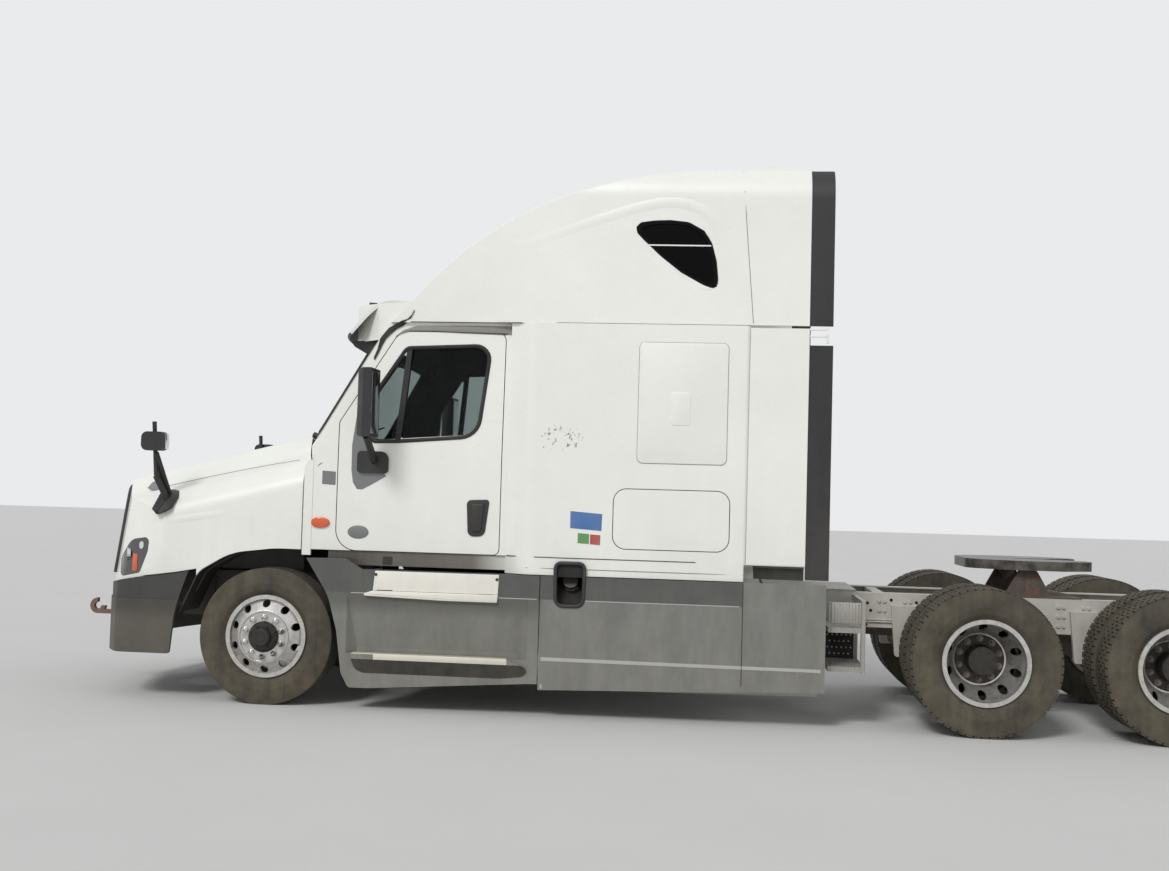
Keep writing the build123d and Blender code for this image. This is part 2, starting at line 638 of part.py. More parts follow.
def cab_form(depth, below=0):
    """The cab's outside, or its inside when depth is the wall; open-ended at the back and top. With
    below, it reaches that much lower, so that taking it away leaves the side walls and no floor."""
    top = ROOF_SEAM_Z + 60
    plan = inset(CAB_PLAN, depth)
    shift = -WINDSHIELD_RAKE * SILL_SHOULDER_Z
    leaning = [(u + shift, v, *r) for u, v, *r in plan]
    lower = prism("plan", plan, FLOOR_Z - below, SILL_SHOULDER_Z)
    upper = prism("plan", leaning, SILL_SHOULDER_Z, top, WINDSHIELD_RAKE)
    front = [(u, v - below if v == FLOOR_Z else v, *r) for u, v, *r in CAB_FRONT]
    return (lower + upper) & prism("front", inset(front, depth), 0, 2900)


def side_cut(points, gap, side=-1, reach=(1000, 1400)):
    """A side opening's outline carried through one wall."""
    return prism("side", inset(points, gap), *sorted((side * reach[0], side * reach[1])))


def cab_shell():
    """The cab's panels, thicker round each door opening, where a lip inside the door takes its seal."""
    inside = cab_form(WALL)
    for side in (-1, 1):
        inside = inside - side_cut(DOOR, -LIP_LAP, side)
    shell = cab_form(0) - (inside + cab_form(WALL + LIP_THICK))
    shell = shell & box(0, CAB_REAR_X, -1400, 1400, FLOOR_Z, ROOF_SEAM_Z)
    shell = shell - prism("front", WINDSHIELD, 0, 1000)
    behind_doors = cab_form(WALL, 200)
    above_sill = box(0, 3000, -1400, 1400, FLOOR_Z + WALL + LIP_THICK + 6, 4000)
    for side in (-1, 1):
        shell = shell - (side_cut(DOOR, -SHUT_GAP, side) - behind_doors)
        shell = shell - (side_cut(DOOR, LIP_LAP, side) & above_sill)
    return fused([shell, *both_sides(cab_sill())])


def cab_sill():
    """Panel under the left door, hung from the edge of the floor."""
    out = CAB_HALF - 18
    edge = CAB_HALF - WALL
    top = FLOOR_Z - 5
    skirt = box(430, CAB_REAR_X, -out, -out + SILL_WALL, CAB_SILL_BOTTOM, top)
    shelf = box(430, CAB_REAR_X, -out, -edge + 20, top - 20, top)
    lip = box(430, CAB_REAR_X, -edge + 1, -edge + 20, top - 20, FLOOR_Z + 5)
    return fused([skirt, shelf, lip])


def door():
    left = (cab_form(0) - cab_form(WALL - SEAT_GAP, 200)) & side_cut(DOOR, 0)
    for glass in (DOOR_GLASS_REAR, DOOR_GLASS_FRONT):
        left = left - side_cut(glass, 0)
    return left


def glass_layer():
    return cab_form(GLASS_DEPTH) - cab_form(GLASS_DEPTH + GLASS_THICK)


def windshield(layer):
    return layer & prism("front", inset(WINDSHIELD, SEAT_GAP), 0, 1000)


def door_glass(layer):
    return [layer & side_cut(glass, SEAT_GAP) for glass in (DOOR_GLASS_REAR, DOOR_GLASS_FRONT)]


# Sleeper
SLEEPER_PLAN = [
    (1400, -CAB_HALF), (BAND_FRONT_X, -CAB_HALF, 150), (BAND_REAR_X, -SLEEPER_HALF, 150),
    (SLEEPER_REAR_X, -SLEEPER_HALF, 30), (SLEEPER_REAR_X, SLEEPER_HALF, 30),
    (BAND_REAR_X, SLEEPER_HALF, 150), (BAND_FRONT_X, CAB_HALF, 150), (1400, CAB_HALF),
]


def sleeper_wall():
    outer = prism("plan", SLEEPER_PLAN, FLOOR_Z, ROOF_SEAM_Z)
    inner = prism("plan", inset(SLEEPER_PLAN, WALL), FLOOR_Z + WALL, ROOF_SEAM_Z + 10)
    body = box(CAB_REAR_X, SLEEPER_REAR_X + 1, -1400, 1400, FLOOR_Z, ROOF_SEAM_Z)
    return (outer - inner) & body


def sleeper_shell(wall):
    """The sleeper's walls and floor, with a lip inside each luggage opening for the door to close on."""
    sills = prism("plan", SLEEPER_PLAN, SILL_BOTTOM, FLOOR_Z + 5)
    sills = sills - prism("plan", inset(SLEEPER_PLAN, SILL_WALL), SILL_BOTTOM - 1, FLOOR_Z + 6)
    sill = sills & box(CAB_REAR_X, SLEEPER_REAR_X - 15, -1400, 100 - SLEEPER_HALF, SILL_BOTTOM, FLOOR_Z + 5)
    shell = fused([wall, *both_sides(sill)])
    inner = SLEEPER_HALF - WALL
    for side in (-1, 1):
        shell = shell - side_cut(LUGGAGE_DOOR, -SHUT_GAP, side, (1000, 1400))
        lip = side_cut(LUGGAGE_DOOR, -LIP_LAP, side, (inner - LIP_THICK, inner))
        shell = shell + (lip - side_cut(LUGGAGE_DOOR, LIP_LAP, side, (inner - LIP_THICK - 1, inner + 1)))
    return shell


def luggage_door():
    return side_cut(LUGGAGE_DOOR, 0, -1, (SLEEPER_HALF - WALL + SEAT_GAP, SLEEPER_HALF))


# Roof
ROOF_DOME = [
    (-2600, ROOF_SEAM_Z - 212), (2600, ROOF_SEAM_Z - 212), (2600, ROOF_SEAM_Z), (2442, ROOF_SEAM_Z + 184),
    (1932, ROOF_SEAM_Z + 799, 2600), (775, ROOF_SEAM_Z + 1266, 2900), (-775, ROOF_SEAM_Z + 1266, 2900),
    (-1932, ROOF_SEAM_Z + 799, 2600), (-2442, ROOF_SEAM_Z + 184), (-2600, ROOF_SEAM_Z),
]
ROOF_SIDES = [
    (-ROOF_SIDE_HALF, ROOF_SEAM_Z - 312), (ROOF_SIDE_HALF, ROOF_SEAM_Z - 312),
    (ROOF_SIDE_HALF - 45, ROOF_SEAM_Z + 1123, 280), (0, ROOF_SEAM_Z + 1512),
    (45 - ROOF_SIDE_HALF, ROOF_SEAM_Z + 1123, 280),
]
ROOF_PLAN = [
    (400, -ROOF_FRONT_HALF), (1650, 5 - CAB_HALF, 600), (1950, -ROOF_SIDE_HALF, 600),
    (4300, -ROOF_SIDE_HALF), (4300, ROOF_SIDE_HALF), (1950, ROOF_SIDE_HALF, 600),
    (1650, CAB_HALF - 5, 600), (400, ROOF_FRONT_HALF),
]


def roof_form(depth):
    points = inset(ROOF_DOME, depth)
    half = outline("front", points) & outline("front", [(0, 0), (3000, 0), (3000, 5000), (0, 5000)])
    dome = revolve(half.faces()[0], Axis((0, 0, 0), (0, 0, 1))).moved(Location((ROOF_AXIS_X, 0, 0)))
    ahead = dome & box(0, ROOF_AXIS_X, -1500, 1500, 2000, 4500)
    behind = prism("front", points, ROOF_AXIS_X, 4100)
    whole = ahead + behind
    return whole & prism("front", inset(ROOF_SIDES, depth), 0, 4200) & prism("plan", inset(ROOF_PLAN, depth), 2400, 4400)


def roof_wall():
    return roof_form(0) - roof_form(ROOF_WALL)


def roof_fairing(wall):
    roof = wall & box(0, SLEEPER_REAR_X, -1400, 1400, ROOF_SEAM_Z, 4400)
    back = roof_form(ROOF_WALL) & box(SLEEPER_REAR_X - ROOF_WALL, SLEEPER_REAR_X, -1400, 1400, ROOF_SEAM_Z, 4400)
    roof = roof + back
    for side in (-1, 1):
        roof = roof - side_cut(ROOF_WINDOW, 0, side, (700, 1400))
    return roof


def roof_glass():
    layer = roof_form(GLASS_DEPTH - 8) - roof_form(GLASS_DEPTH)
    return [layer & side_cut(ROOF_WINDOW, SEAT_GAP, side, (700, 1400)) for side in (-1, 1)]


def visor():
    """Sun visor over the windshield, turned about the roof's own axis."""
    section = [
        (2461, 163), (2444, 183), (2587, 180, 200), (2690, 153, 200), (2776, 64, 300), (2882, -77),
        (2866, -90), (2756, 46, 290), (2676, 128, 190), (2580, 154, 190),
    ]
    face = outline("front", [(-u, ROOF_SEAM_Z + v, *r) for u, v, *r in section])
    face = face.rotate(Axis.Z, -90)
    spread = 44
    start = face.rotate(Axis.Z, -spread / 2)
    turned = revolve(start, Axis((0, 0, 0), (0, 0, 1)), spread)
    return turned.moved(Location((ROOF_AXIS_X, 0, 0)))


def roof_band(front_x, rear_x, near, far):
    """The roof's side and shoulder carried on behind the sleeper, between two depths from its outside."""
    outer = prism("front", inset(ROOF_SIDES, near), front_x, rear_x)
    outer = outer & prism("front", inset(ROOF_DOME, near), front_x, rear_x)
    hollow = prism("front", inset(ROOF_SIDES, far), front_x - 1, rear_x + 1)
    hollow = hollow & prism("front", inset(ROOF_DOME, far), front_x - 1, rear_x + 1)
    return (outer - hollow) & box(front_x, rear_x, -1400, -BAND_INNER, ROOF_SEAM_Z + SHUT_GAP, 4400)


def extenders():
    """Side panels behind the sleeper: a flat lower one and an upper one that follows the roof."""
    inner = SLEEPER_HALF - EXTENDER_THICK
    lower = box(EXTENDER_FRONT_X, EXTENDER_REAR_X, -SLEEPER_HALF, -inner, FLOOR_Z, ROOF_SEAM_Z - 15)
    return [lower, roof_band(EXTENDER_FRONT_X, EXTENDER_REAR_X, 0, EXTENDER_THICK)]


def extender_edges():
    """Rubber strips along the back edge of both panels."""
    out = SLEEPER_HALF - 6
    lower = box(EXTENDER_REAR_X, EXTENDER_EDGE_X, -out, -out + EXTENDER_EDGE_THICK, 1035, 2680)
    return [lower, roof_band(EXTENDER_REAR_X, EXTENDER_EDGE_X, 6, 6 + EXTENDER_EDGE_THICK)]


# Hood
HOOD_SECTION = [
    (-HOOD_HALF, 100), (HOOD_HALF, 100), (HOOD_HALF, 1360, 150), (990, 1480, 250), (760, 1560, 90),
    (560, 1712, 120), (0, 1745, 4000), (-560, 1712, 120), (-760, 1560, 90), (-990, 1480, 250),
    (-HOOD_HALF, 1360, 150),
]
HOOD_PLAN = [
    (-1466, -200, 800), (-1425, -560, 500), (-1215, -960, 300), (-900, -HOOD_HALF - 5, 400),
    (900, -HOOD_HALF - 5), (900, HOOD_HALF + 5), (-900, HOOD_HALF + 5, 400), (-1215, 960, 300),
    (-1425, 560, 500), (-1466, 200, 800),
]
ARCH = [
    (300, 250), (300, 1130), (30, 1132, 900), (-300, 1090, 500), (-545, 945, 160), (-700, 600), (-720, 250),
]
BUMPER_TOP = [(-1600, 796), (-1244, 838), (-1040, 880), (-716, 926), (-560, 955)]
HEADLAMP = [
    (-940, 1185, 40), (-950, 1075, 120), (-1015, 915, 40), (-1222, 872, 40), (-1236, 1015, 60), (-1120, 1160, 120),
]


def hood_form(depth):
    section = [(u, v - HOOD_SLOPE * HOOD_SECTION_X, *r) for u, v, *r in inset(HOOD_SECTION, depth)]
    body = prism("front", section, -1700, 500, HOOD_SLOPE)
    shift = -NOSE_LEAN * 1000
    plan = [(u + shift, v, *r) for u, v, *r in inset(HOOD_PLAN, depth)]
    return body & prism("plan", plan, 300, 2300, NOSE_LEAN)


def hood_wall():
    shell = hood_form(0) - hood_form(HOOD_WALL)
    apex, bow = bowed(CAB_SIDE_FRONT_X - HOOD_GAP, CAB_MIDDLE_FRONT_X - HOOD_GAP, WINDSHIELD_HALF)
    side_x = CAB_SIDE_FRONT_X - HOOD_GAP
    keep = [
        (side_x, -WINDSHIELD_HALF), (apex, 0, bow), (side_x, WINDSHIELD_HALF), (side_x, 1400), (-1700, 1400),
        (-1700, -1400), (side_x, -1400),
    ]
    shell = shell & prism("plan", keep, 300, 2300)
    below = [(-1700, 100)] + [(u, v + HOOD_GAP) for u, v in BUMPER_TOP] + [(-560, 1000), (-540, 100)]
    shell = shell - prism("side", below, -1400, 1400)
    return shell - prism("side", ARCH, -1400, 1400)


def hood(wall):
    shell = wall - prism("front", [(-GRILLE_HALF, 850, 60), (GRILLE_HALF, 850, 60),
                                   (GRILLE_HALF - 40, 1500, 80), (-GRILLE_HALF + 40, 1500, 80)], -1700, -1100)
    for side in (-1, 1):
        shell = shell - side_cut(HEADLAMP, 0, side, (700, 1400))
    return fused([shell, *both_sides(hood_arm())])


def hood_arm():
    """Gooseneck from the hood's front lip, over the bumper's edge, back and down to the pivot pin."""
    x, z = HOOD_PIVOT_X, HOOD_PIVOT_Z
    side = [
        (x, z - 24), (x + 141, z - 24, 12), (x + 141, z + 110, 30), (x + 105, z + 148, 20), (x - 80, z + 148),
        (x - 80, z + 136), (x + 95, z + 136, 10), (x + 123, z + 100, 20), (x + 123, z + 24, 10), (x, z + 24),
    ]
    arm = prism("side", side, -HOOD_ARM_OUT, -HOOD_ARM_IN) + across_rod(x, z, -HOOD_ARM_OUT, -HOOD_ARM_IN, 30)
    return arm - across_rod(x, z, -HOOD_ARM_OUT - 1, -HOOD_ARM_IN + 1, HOOD_PIN_R + PIN_GAP)


def fender_liner():
    """Black moulding inside the left fender that keeps the wheel's spray off the engine."""
    band = prism("side", inset(ARCH, -LINER_THICK), -HOOD_HALF + HOOD_WALL + SEAT_GAP, -LINER_IN)
    band = band - prism("side", ARCH, -1400, 1400)
    return band & box(-800, CAB_MIDDLE_FRONT_X - HOOD_GAP, -1400, 0, 640, 1400)


def grille():
    """Frame and bars, bowed with the nose."""
    layer = (hood_form(4) - hood_form(44))
    opening = [(-GRILLE_HALF, 850, 60), (GRILLE_HALF, 850, 60), (GRILLE_HALF - 40, 1500, 80),
               (-GRILLE_HALF + 40, 1500, 80)]
    frame = prism("front", inset(opening, SEAT_GAP), -1700, -1100)
    frame = frame - prism("front", inset(opening, 34), -1700, -1100)
    bars = [layer & frame]
    pitch = (1500 - 850 - 68) / (GRILLE_BARS + 1)
    for k in range(GRILLE_BARS):
        z = 850 + 34 + pitch * (k + 1)
        bars.append(layer & prism("front", inset(opening, 33), -1700, -1100) & box(-1700, -1100, -600, 600, z - 16, z + 16))
    return fused(bars)


def headlamps():
    layer = hood_form(2) - hood_form(60)
    return [layer & side_cut(HEADLAMP, SEAT_GAP, side, (700, 1400)) for side in (-1, 1)]


def hood_mirror():
    """Left convex mirror on its bent arm, standing on the fender."""
    out = HOOD_HALF
    foot = rod((-800, 95 - out, 1380), (-900, 5 - out, 1640), 24) - hood_form(-SEAT_GAP)
    arm = rod((-900, 5 - out, 1640), (-925, -out - 5, 2040), 16)
    face = [(-985, 1823, 45), (-800, 1823, 45), (-800, 1963, 45), (-985, 1963, 45)]
    head = prism("side", face, -out - 90, -out - 20)
    head = head + box(-940, -910, -out - 25, -out, 1860, 1920)
    return fused([foot, arm, head])


# Bumper and fairings
bumper_apex, bumper_bow = bowed(BUMPER_MIDDLE_X + 190, BUMPER_MIDDLE_X, 980)
BUMPER_PLAN = [
    (BUMPER_MIDDLE_X + 190, -980), (bumper_apex, 0, bumper_bow), (BUMPER_MIDDLE_X + 190, 980),
    (-1150, BUMPER_HALF, 120), (200, BUMPER_HALF), (200, -BUMPER_HALF), (-1150, -BUMPER_HALF, 120),
]


INTAKE = [(-350, 430, 40), (350, 430, 40), (320, 600, 30), (-320, 600, 30)]


def bumper():
    ring = prism("plan", BUMPER_PLAN, 336, BUMPER_SPLIT_Z)
    ring = ring + prism("plan", inset(BUMPER_PLAN, BUMPER_STEP), BUMPER_SPLIT_Z, 960)
    ring = ring - prism("plan", inset(BUMPER_PLAN, BUMPER_WALL), 300, 1000)
    ring = ring - prism("front", INTAKE, -1700, -1200)
    side = [(-1600, 336), (-735, 336, 20), (-709, 612), (-674, 764), (-612, 946)]
    side = side + [(u, v) for u, v in reversed(BUMPER_TOP[:-1])]
    ring = ring & prism("side", side, -1400, 1400)
    for y in (-HOOK_Y, HOOK_Y):
        ring = ring - box(-1600, -1200, y - 60, y + 60, HOOK_Z - 90, HOOK_Z + 90)
    brackets = []
    for sign in (-1, 1):
        y0, y1 = sorted((sign * 330, sign * 348))
        brackets.append(box(-1444, FRAME_FRONT_X, y0, y1, 620, 740))
        y0, y1 = sorted((sign * 330, sign * RAIL_OUTER))
        brackets.append(box(FRAME_FRONT_X - 12, FRAME_FRONT_X, y0, y1, 620, 740))
        y0, y1 = sorted((sign * (HOOD_ARM_IN - 8), sign * 340))
        brackets.append(across_rod(HOOD_PIVOT_X, HOOD_PIVOT_Z, y0, y1, HOOD_PIN_R))
    return fused([ring, *brackets])


FAIRING_FRONT = [
    (301, 1075), (589, 1081, 60), (720, FAIRING_TOP, 60), (FAIRING_SEAM_X - 3, FAIRING_TOP), (FAIRING_SEAM_X - 3, 240),
    (1950, 240, 30), (780, 160, 60), (640, 160, 30), (585, 260, 60), (541, 564, 300), (471, 811, 400),
]
FAIRING_REAR = [
    (FAIRING_SEAM_X + 3, 200), (FAIRING_REAR_X, 262), (FAIRING_REAR_X, FAIRING_TOP), (FAIRING_SEAM_X + 3, FAIRING_TOP)]
FILLER = [(2120, 800, 30), (2322, 800, 30), (2322, 1100), (2120, 1100)]
FOOT_SECTION = [
    (-FAIRING_OUT - 80, 830), (-FAIRING_OUT, 830), (FOOT_DEPTH - FAIRING_OUT, STEP_TOP + 40, 40),
    (FOOT_DEPTH - FAIRING_OUT, STEP_TOP), (-FAIRING_OUT - 80, STEP_TOP),
]
FOOT_PLAN = [
    (615, -FAIRING_OUT - 80), (615, -FAIRING_OUT), (690, FOOT_DEPTH - FAIRING_OUT + 10),
    (1850, FOOT_DEPTH - FAIRING_OUT + 10), (1930, -FAIRING_OUT), (1930, -FAIRING_OUT - 80),
]
STEP_SIDE = [
    (650, STEP_TOP), (1790, STEP_TOP), (1955, 345, 40), (1900, 290, 80), (1700, 262, 200), (800, 250, 120),
    (690, 290, 60),
]


def foot_room(wall):
    """The wedge of air over the step, or that wedge grown by a wall."""
    section = prism("front", inset(FOOT_SECTION, -wall), 500, 2005)
    return section & prism("plan", inset(FOOT_PLAN, -wall), 300, 900)


def side_fairings():
    """Skins over the tanks and boxes, with a top flange and a step with its foot room in the front one."""
    front = prism("side", FAIRING_FRONT, -FAIRING_OUT, -FAIRING_OUT + FAIRING_WALL)
    recess = foot_room(FAIRING_WALL) & prism("side", FAIRING_FRONT, -FAIRING_OUT, -FAIRING_OUT + 200)
    front = (front + recess) - foot_room(0)
    out = FAIRING_OUT + STEP_OUT
    nosing = [(-out, STEP_TOP), (-out, STEP_TOP - 36, 12), (8 - FAIRING_OUT, 240), (20 - FAIRING_OUT, 240),
              (20 - FAIRING_OUT, STEP_TOP)]
    step = prism("side", STEP_SIDE, -out, 20 - FAIRING_OUT) & prism("front", nosing, 600, 2000)
    front = front + step
    rear = prism("side", FAIRING_REAR, -FAIRING_OUT, -FAIRING_OUT + FAIRING_WALL)
    rear = rear - prism("side", FILLER, -FAIRING_OUT - 1, -1000)
    front_top = box(BOX_FRONT_X + 20, FAIRING_SEAM_X - 3, -FAIRING_OUT, -FAIRING_OUT + 90, FAIRING_TOP - 18, FAIRING_TOP)
    rear_top = box(2340, FAIRING_REAR_X, -FAIRING_OUT, -FAIRING_OUT + 60, FAIRING_TOP - 18, FAIRING_TOP)
    return [front + front_top, rear + rear_top]


def fuel_tank():
    """Round tank on two brackets, with its filler neck in the fairing's recess."""
    tank = rod((TANK_FRONT_X, -TANK_Y, TANK_Z), (TANK_REAR_X, -TANK_Y, TANK_Z), TANK_R)
    pieces = [tank]
    for x in (TANK_FRONT_X + 250, TANK_REAR_X - 300):
        pieces.append(box(x, x + 70, -TANK_Y, -RAIL_OUTER, 420, 500))
        pieces.append(box(x, x + 70, -RAIL_OUTER - 60, -RAIL_OUTER, 420, RAIL_TOP - 30))
        pieces.append(box(x, x + 70, -FAIRING_OUT + FAIRING_WALL, -TANK_Y, 420, 470))
    pieces.append(rod((2220, -1010, 900), (2220, -1120, 960), 50))
    return fused(pieces)


def chassis_box():
    """Battery box on the left and exhaust treatment on the right, on the same brackets."""
    body = box(BOX_FRONT_X, BOX_REAR_X, -FAIRING_OUT + FAIRING_WALL, -580, BOX_BOTTOM, BOX_TOP - 20)
    body = body - foot_room(FAIRING_WALL + SEAT_GAP)
    arms = [box(x, x + 80, -590, -RAIL_OUTER, 560, RAIL_TOP - 30) for x in (BOX_FRONT_X + 100, BOX_REAR_X - 200)]
    return fused([body, *arms])


def deck():
    """Tread plate over the rails behind the sleeper, with two side treads on a hanger."""
    rear = FAIRING_REAR_X + 286
    plate = box(SLEEPER_REAR_X + 165, rear, -RAIL_OUTER, RAIL_OUTER, RAIL_TOP, RAIL_TOP + 18)
    hanger = box(rear - 30, rear, -1090, -RAIL_OUTER, RAIL_TOP - 60, RAIL_TOP - 15)
    hanger = hanger + box(rear - 30, rear, -1090, -1050, 392, RAIL_TOP - 15)
    treads = [box(FAIRING_REAR_X + 27, rear, -1090, -560, z, z + 36) for z in (671, 400)]
    post = box(rear - 30, rear, -590, -560, 400, RAIL_TOP - 15)
    return [plate, fused([hanger, post, *treads])]


def mud_flap():
    x = DRIVE_AXLES_X[1] + 639
    bar = across_rod(x, 880, -1230, -RAIL_OUTER, 18)
    flap = box(x - 6, x + 6, -1230, -640, 240, 875)
    return bar + flap


# Fifth wheel
FIFTH_PLAN = [
    (-430, -330, 200), (-430, 330, 200), (-60, FIFTH_HALF, 200), (240, FIFTH_HALF, 60), (480, 330, 30),
    (480, 150, 20), (60, KINGPIN_LOCK_R), (60, -KINGPIN_LOCK_R), (480, -150, 20), (480, -330, 30),
    (240, -FIFTH_HALF, 60), (-60, -FIFTH_HALF, 200),
]


def fifth_wheel_plate():
    points = [(FIFTH_X + u, v, *r) for u, v, *r in FIFTH_PLAN]
    plate = prism("plan", points, FIFTH_TOP - FIFTH_PLATE_THICK, FIFTH_TOP)
    skirt = prism("plan", points, FIFTH_TOP - 70, FIFTH_TOP) - prism("plan", inset(points, 18), FIFTH_TOP - 90, FIFTH_TOP)
    skirt = skirt - box(FIFTH_X + 60, FIFTH_X + 600, -260, 260, FIFTH_TOP - 90, FIFTH_TOP - FIFTH_PLATE_THICK)
    lock = rod((FIFTH_X, 0, FIFTH_TOP - 66), (FIFTH_X, 0, FIFTH_TOP), 95)
    bore = rod((FIFTH_X, 0, FIFTH_TOP - 100), (FIFTH_X, 0, FIFTH_TOP + 10), KINGPIN_LOCK_R)
    throat = box(FIFTH_X, FIFTH_X + 200, -KINGPIN_LOCK_R, KINGPIN_LOCK_R, FIFTH_TOP - 100, FIFTH_TOP + 10)
    ears = []
    for y0, y1 in ((-360, -320), (320, 360)):
        ear = box(FIFTH_X - 60, FIFTH_X + 60, y0, y1, FIFTH_PIVOT_Z, FIFTH_TOP - 10)
        ear = ear + across_rod(FIFTH_X, FIFTH_PIVOT_Z, y0, y1, 60)
        ears.append(ear - across_rod(FIFTH_X, FIFTH_PIVOT_Z, y0 - 1, y1 + 1, FIFTH_PIN_R + PIN_GAP))
    return fused([plate, skirt, lock, *ears]) - bore - throat


def fifth_wheel_base():
    """Mounting plate on the rails with a bracket and pin at each side."""
    pieces = [box(FIFTH_X - 380, FIFTH_X + 380, -RAIL_OUTER, RAIL_OUTER, RAIL_TOP, RAIL_TOP + 14)]
    for sign in (-1, 1):
        y0, y1 = sorted((sign * 368, sign * 400))
        side = [(FIFTH_X - 170, RAIL_TOP + 10), (FIFTH_X + 170, RAIL_TOP + 10), (FIFTH_X + 60, FIFTH_PIVOT_Z + 40, 50),
                (FIFTH_X - 60, FIFTH_PIVOT_Z + 40, 50)]
        pieces.append(prism("side", side, y0, y1))
        p0, p1 = sorted((sign * 314, sign * 400))
        pieces.append(across_rod(FIFTH_X, FIFTH_PIVOT_Z, p0, p1, FIFTH_PIN_R))
    return fused(pieces)


# Inside the cab
def dashboard():
    """Dash moulding between the cab's side walls, with a shroud that carries the steering column."""
    side = [(300, 1400), (620, 1400, 60), (740, 1700, 60), (700, 1860, 60), (460, 1900, 40), (300, 1880)]
    inside = CAB_HALF - WALL
    front = prism("side", side, -inside, inside) & box(0, 462, -inside, inside, 1300, 2000)
    body = front + prism("side", side, -inside + 40, inside - 40)
    column = steering_axis()
    shroud = Solid.make_cylinder(48, 160, column.offset(-260)) - Solid.make_cylinder(22 + PIN_GAP, 100, column.offset(-180))
    return (body & cab_form(WALL + SEAT_GAP)) + shroud


def steering_axis():
    return Plane((905, -560, 1860), z_dir=(0.72, 0, 0.69))


def steering_wheel():
    hub = steering_axis()
    ring = Solid.make_torus(215, 16, hub)
    boss = Solid.make_cylinder(45, 40, hub.offset(-20))
    spokes = []
    for angle in (90, 210, 330):
        spoke = Solid.make_box(215, 34, 16).moved(Location((0, -17, -8)))
        spokes.append(hub.location * Location((0, 0, 0), (0, 0, angle)) * spoke)
    column = Solid.make_cylinder(22, 165, hub.offset(-170))
    return fused([ring, boss, column, *spokes])


def seat(y):
    base = box(1240, 1560, y - 180, y + 180, FLOOR_Z + WALL, 1540)
    cushion = box(1180, 1680, y - 250, y + 250, 1540, 1660)
    side = [(1600, 1640, 30), (1700, 1640, 30), (1840, 2280, 50), (1750, 2300, 50)]
    back = prism("side", side, y - 250, y + 250)
    return fused([base, cushion, back])


def bunk():
    half = SLEEPER_HALF - WALL - SEAT_GAP
    return box(2560, SLEEPER_REAR_X - WALL - SEAT_GAP, -half, half, 1700, 1900)


def door_mirror():
    """Left main mirror: a tall head on a bracket from the door."""
    near = CAB_HALF + 170
    far = CAB_HALF + 395
    plate = [(632, 1700, 30), (862, 1700, 30), (862, 1860, 60), (632, 1860, 30)]
    base = prism("side", plate, -CAB_HALF - 24, -CAB_HALF - SEAT_GAP)
    arm = rod((760, -CAB_HALF - 20, 1790), (760, -near - 100, 1962), 26)
    plan = [
        (822, -near), (822, -far), (765, -far, 50), (698, -far + 80, 60), (698, -near - 80, 60), (765, -near, 50)]
    side = [(690, 1953, 55), (830, 1953, 16), (830, 2438, 16), (690, 2438, 55)]
    head = prism("plan", plan, 1953, 2438) & prism("side", side, -far - 1, -near + 1)
    return fused([base, arm, head])


def marker_lamps():
    """Five amber lamps along the visor's brow."""
    lamps = []
    for angle in (-17, -3, 0, 3, 17):
        x = ROOF_AXIS_X - 2700 * cos(radians(angle))
        y = 2700 * sin(radians(angle))
        lamp = Solid.make_box(60, 90, 26).moved(Location((-30, -45, 0)))
        lamps.append(Location((x, y, LAMP_Z), (0, 0, -angle)) * lamp)
    return lamps


def tail_lamps():
    return [box(FRAME_REAR_X + SEAT_GAP, FRAME_REAR_X + 30, y - 60, y + 60, 730, 850) for y in (-320, 320)]


def write(name, shapes):
    """Save a node's solids, moved so that the truck's middle is over the origin."""
    shapes = shapes if isinstance(shapes, list) else [shapes]
    solids = [solid for shape in shapes for solid in shape.solids()]
    node = Compound(children=[solid.moved(Location((-MIDDLE_X, 0, 0))) for solid in solids])
    export_step(node, f"parts/{name}.step")


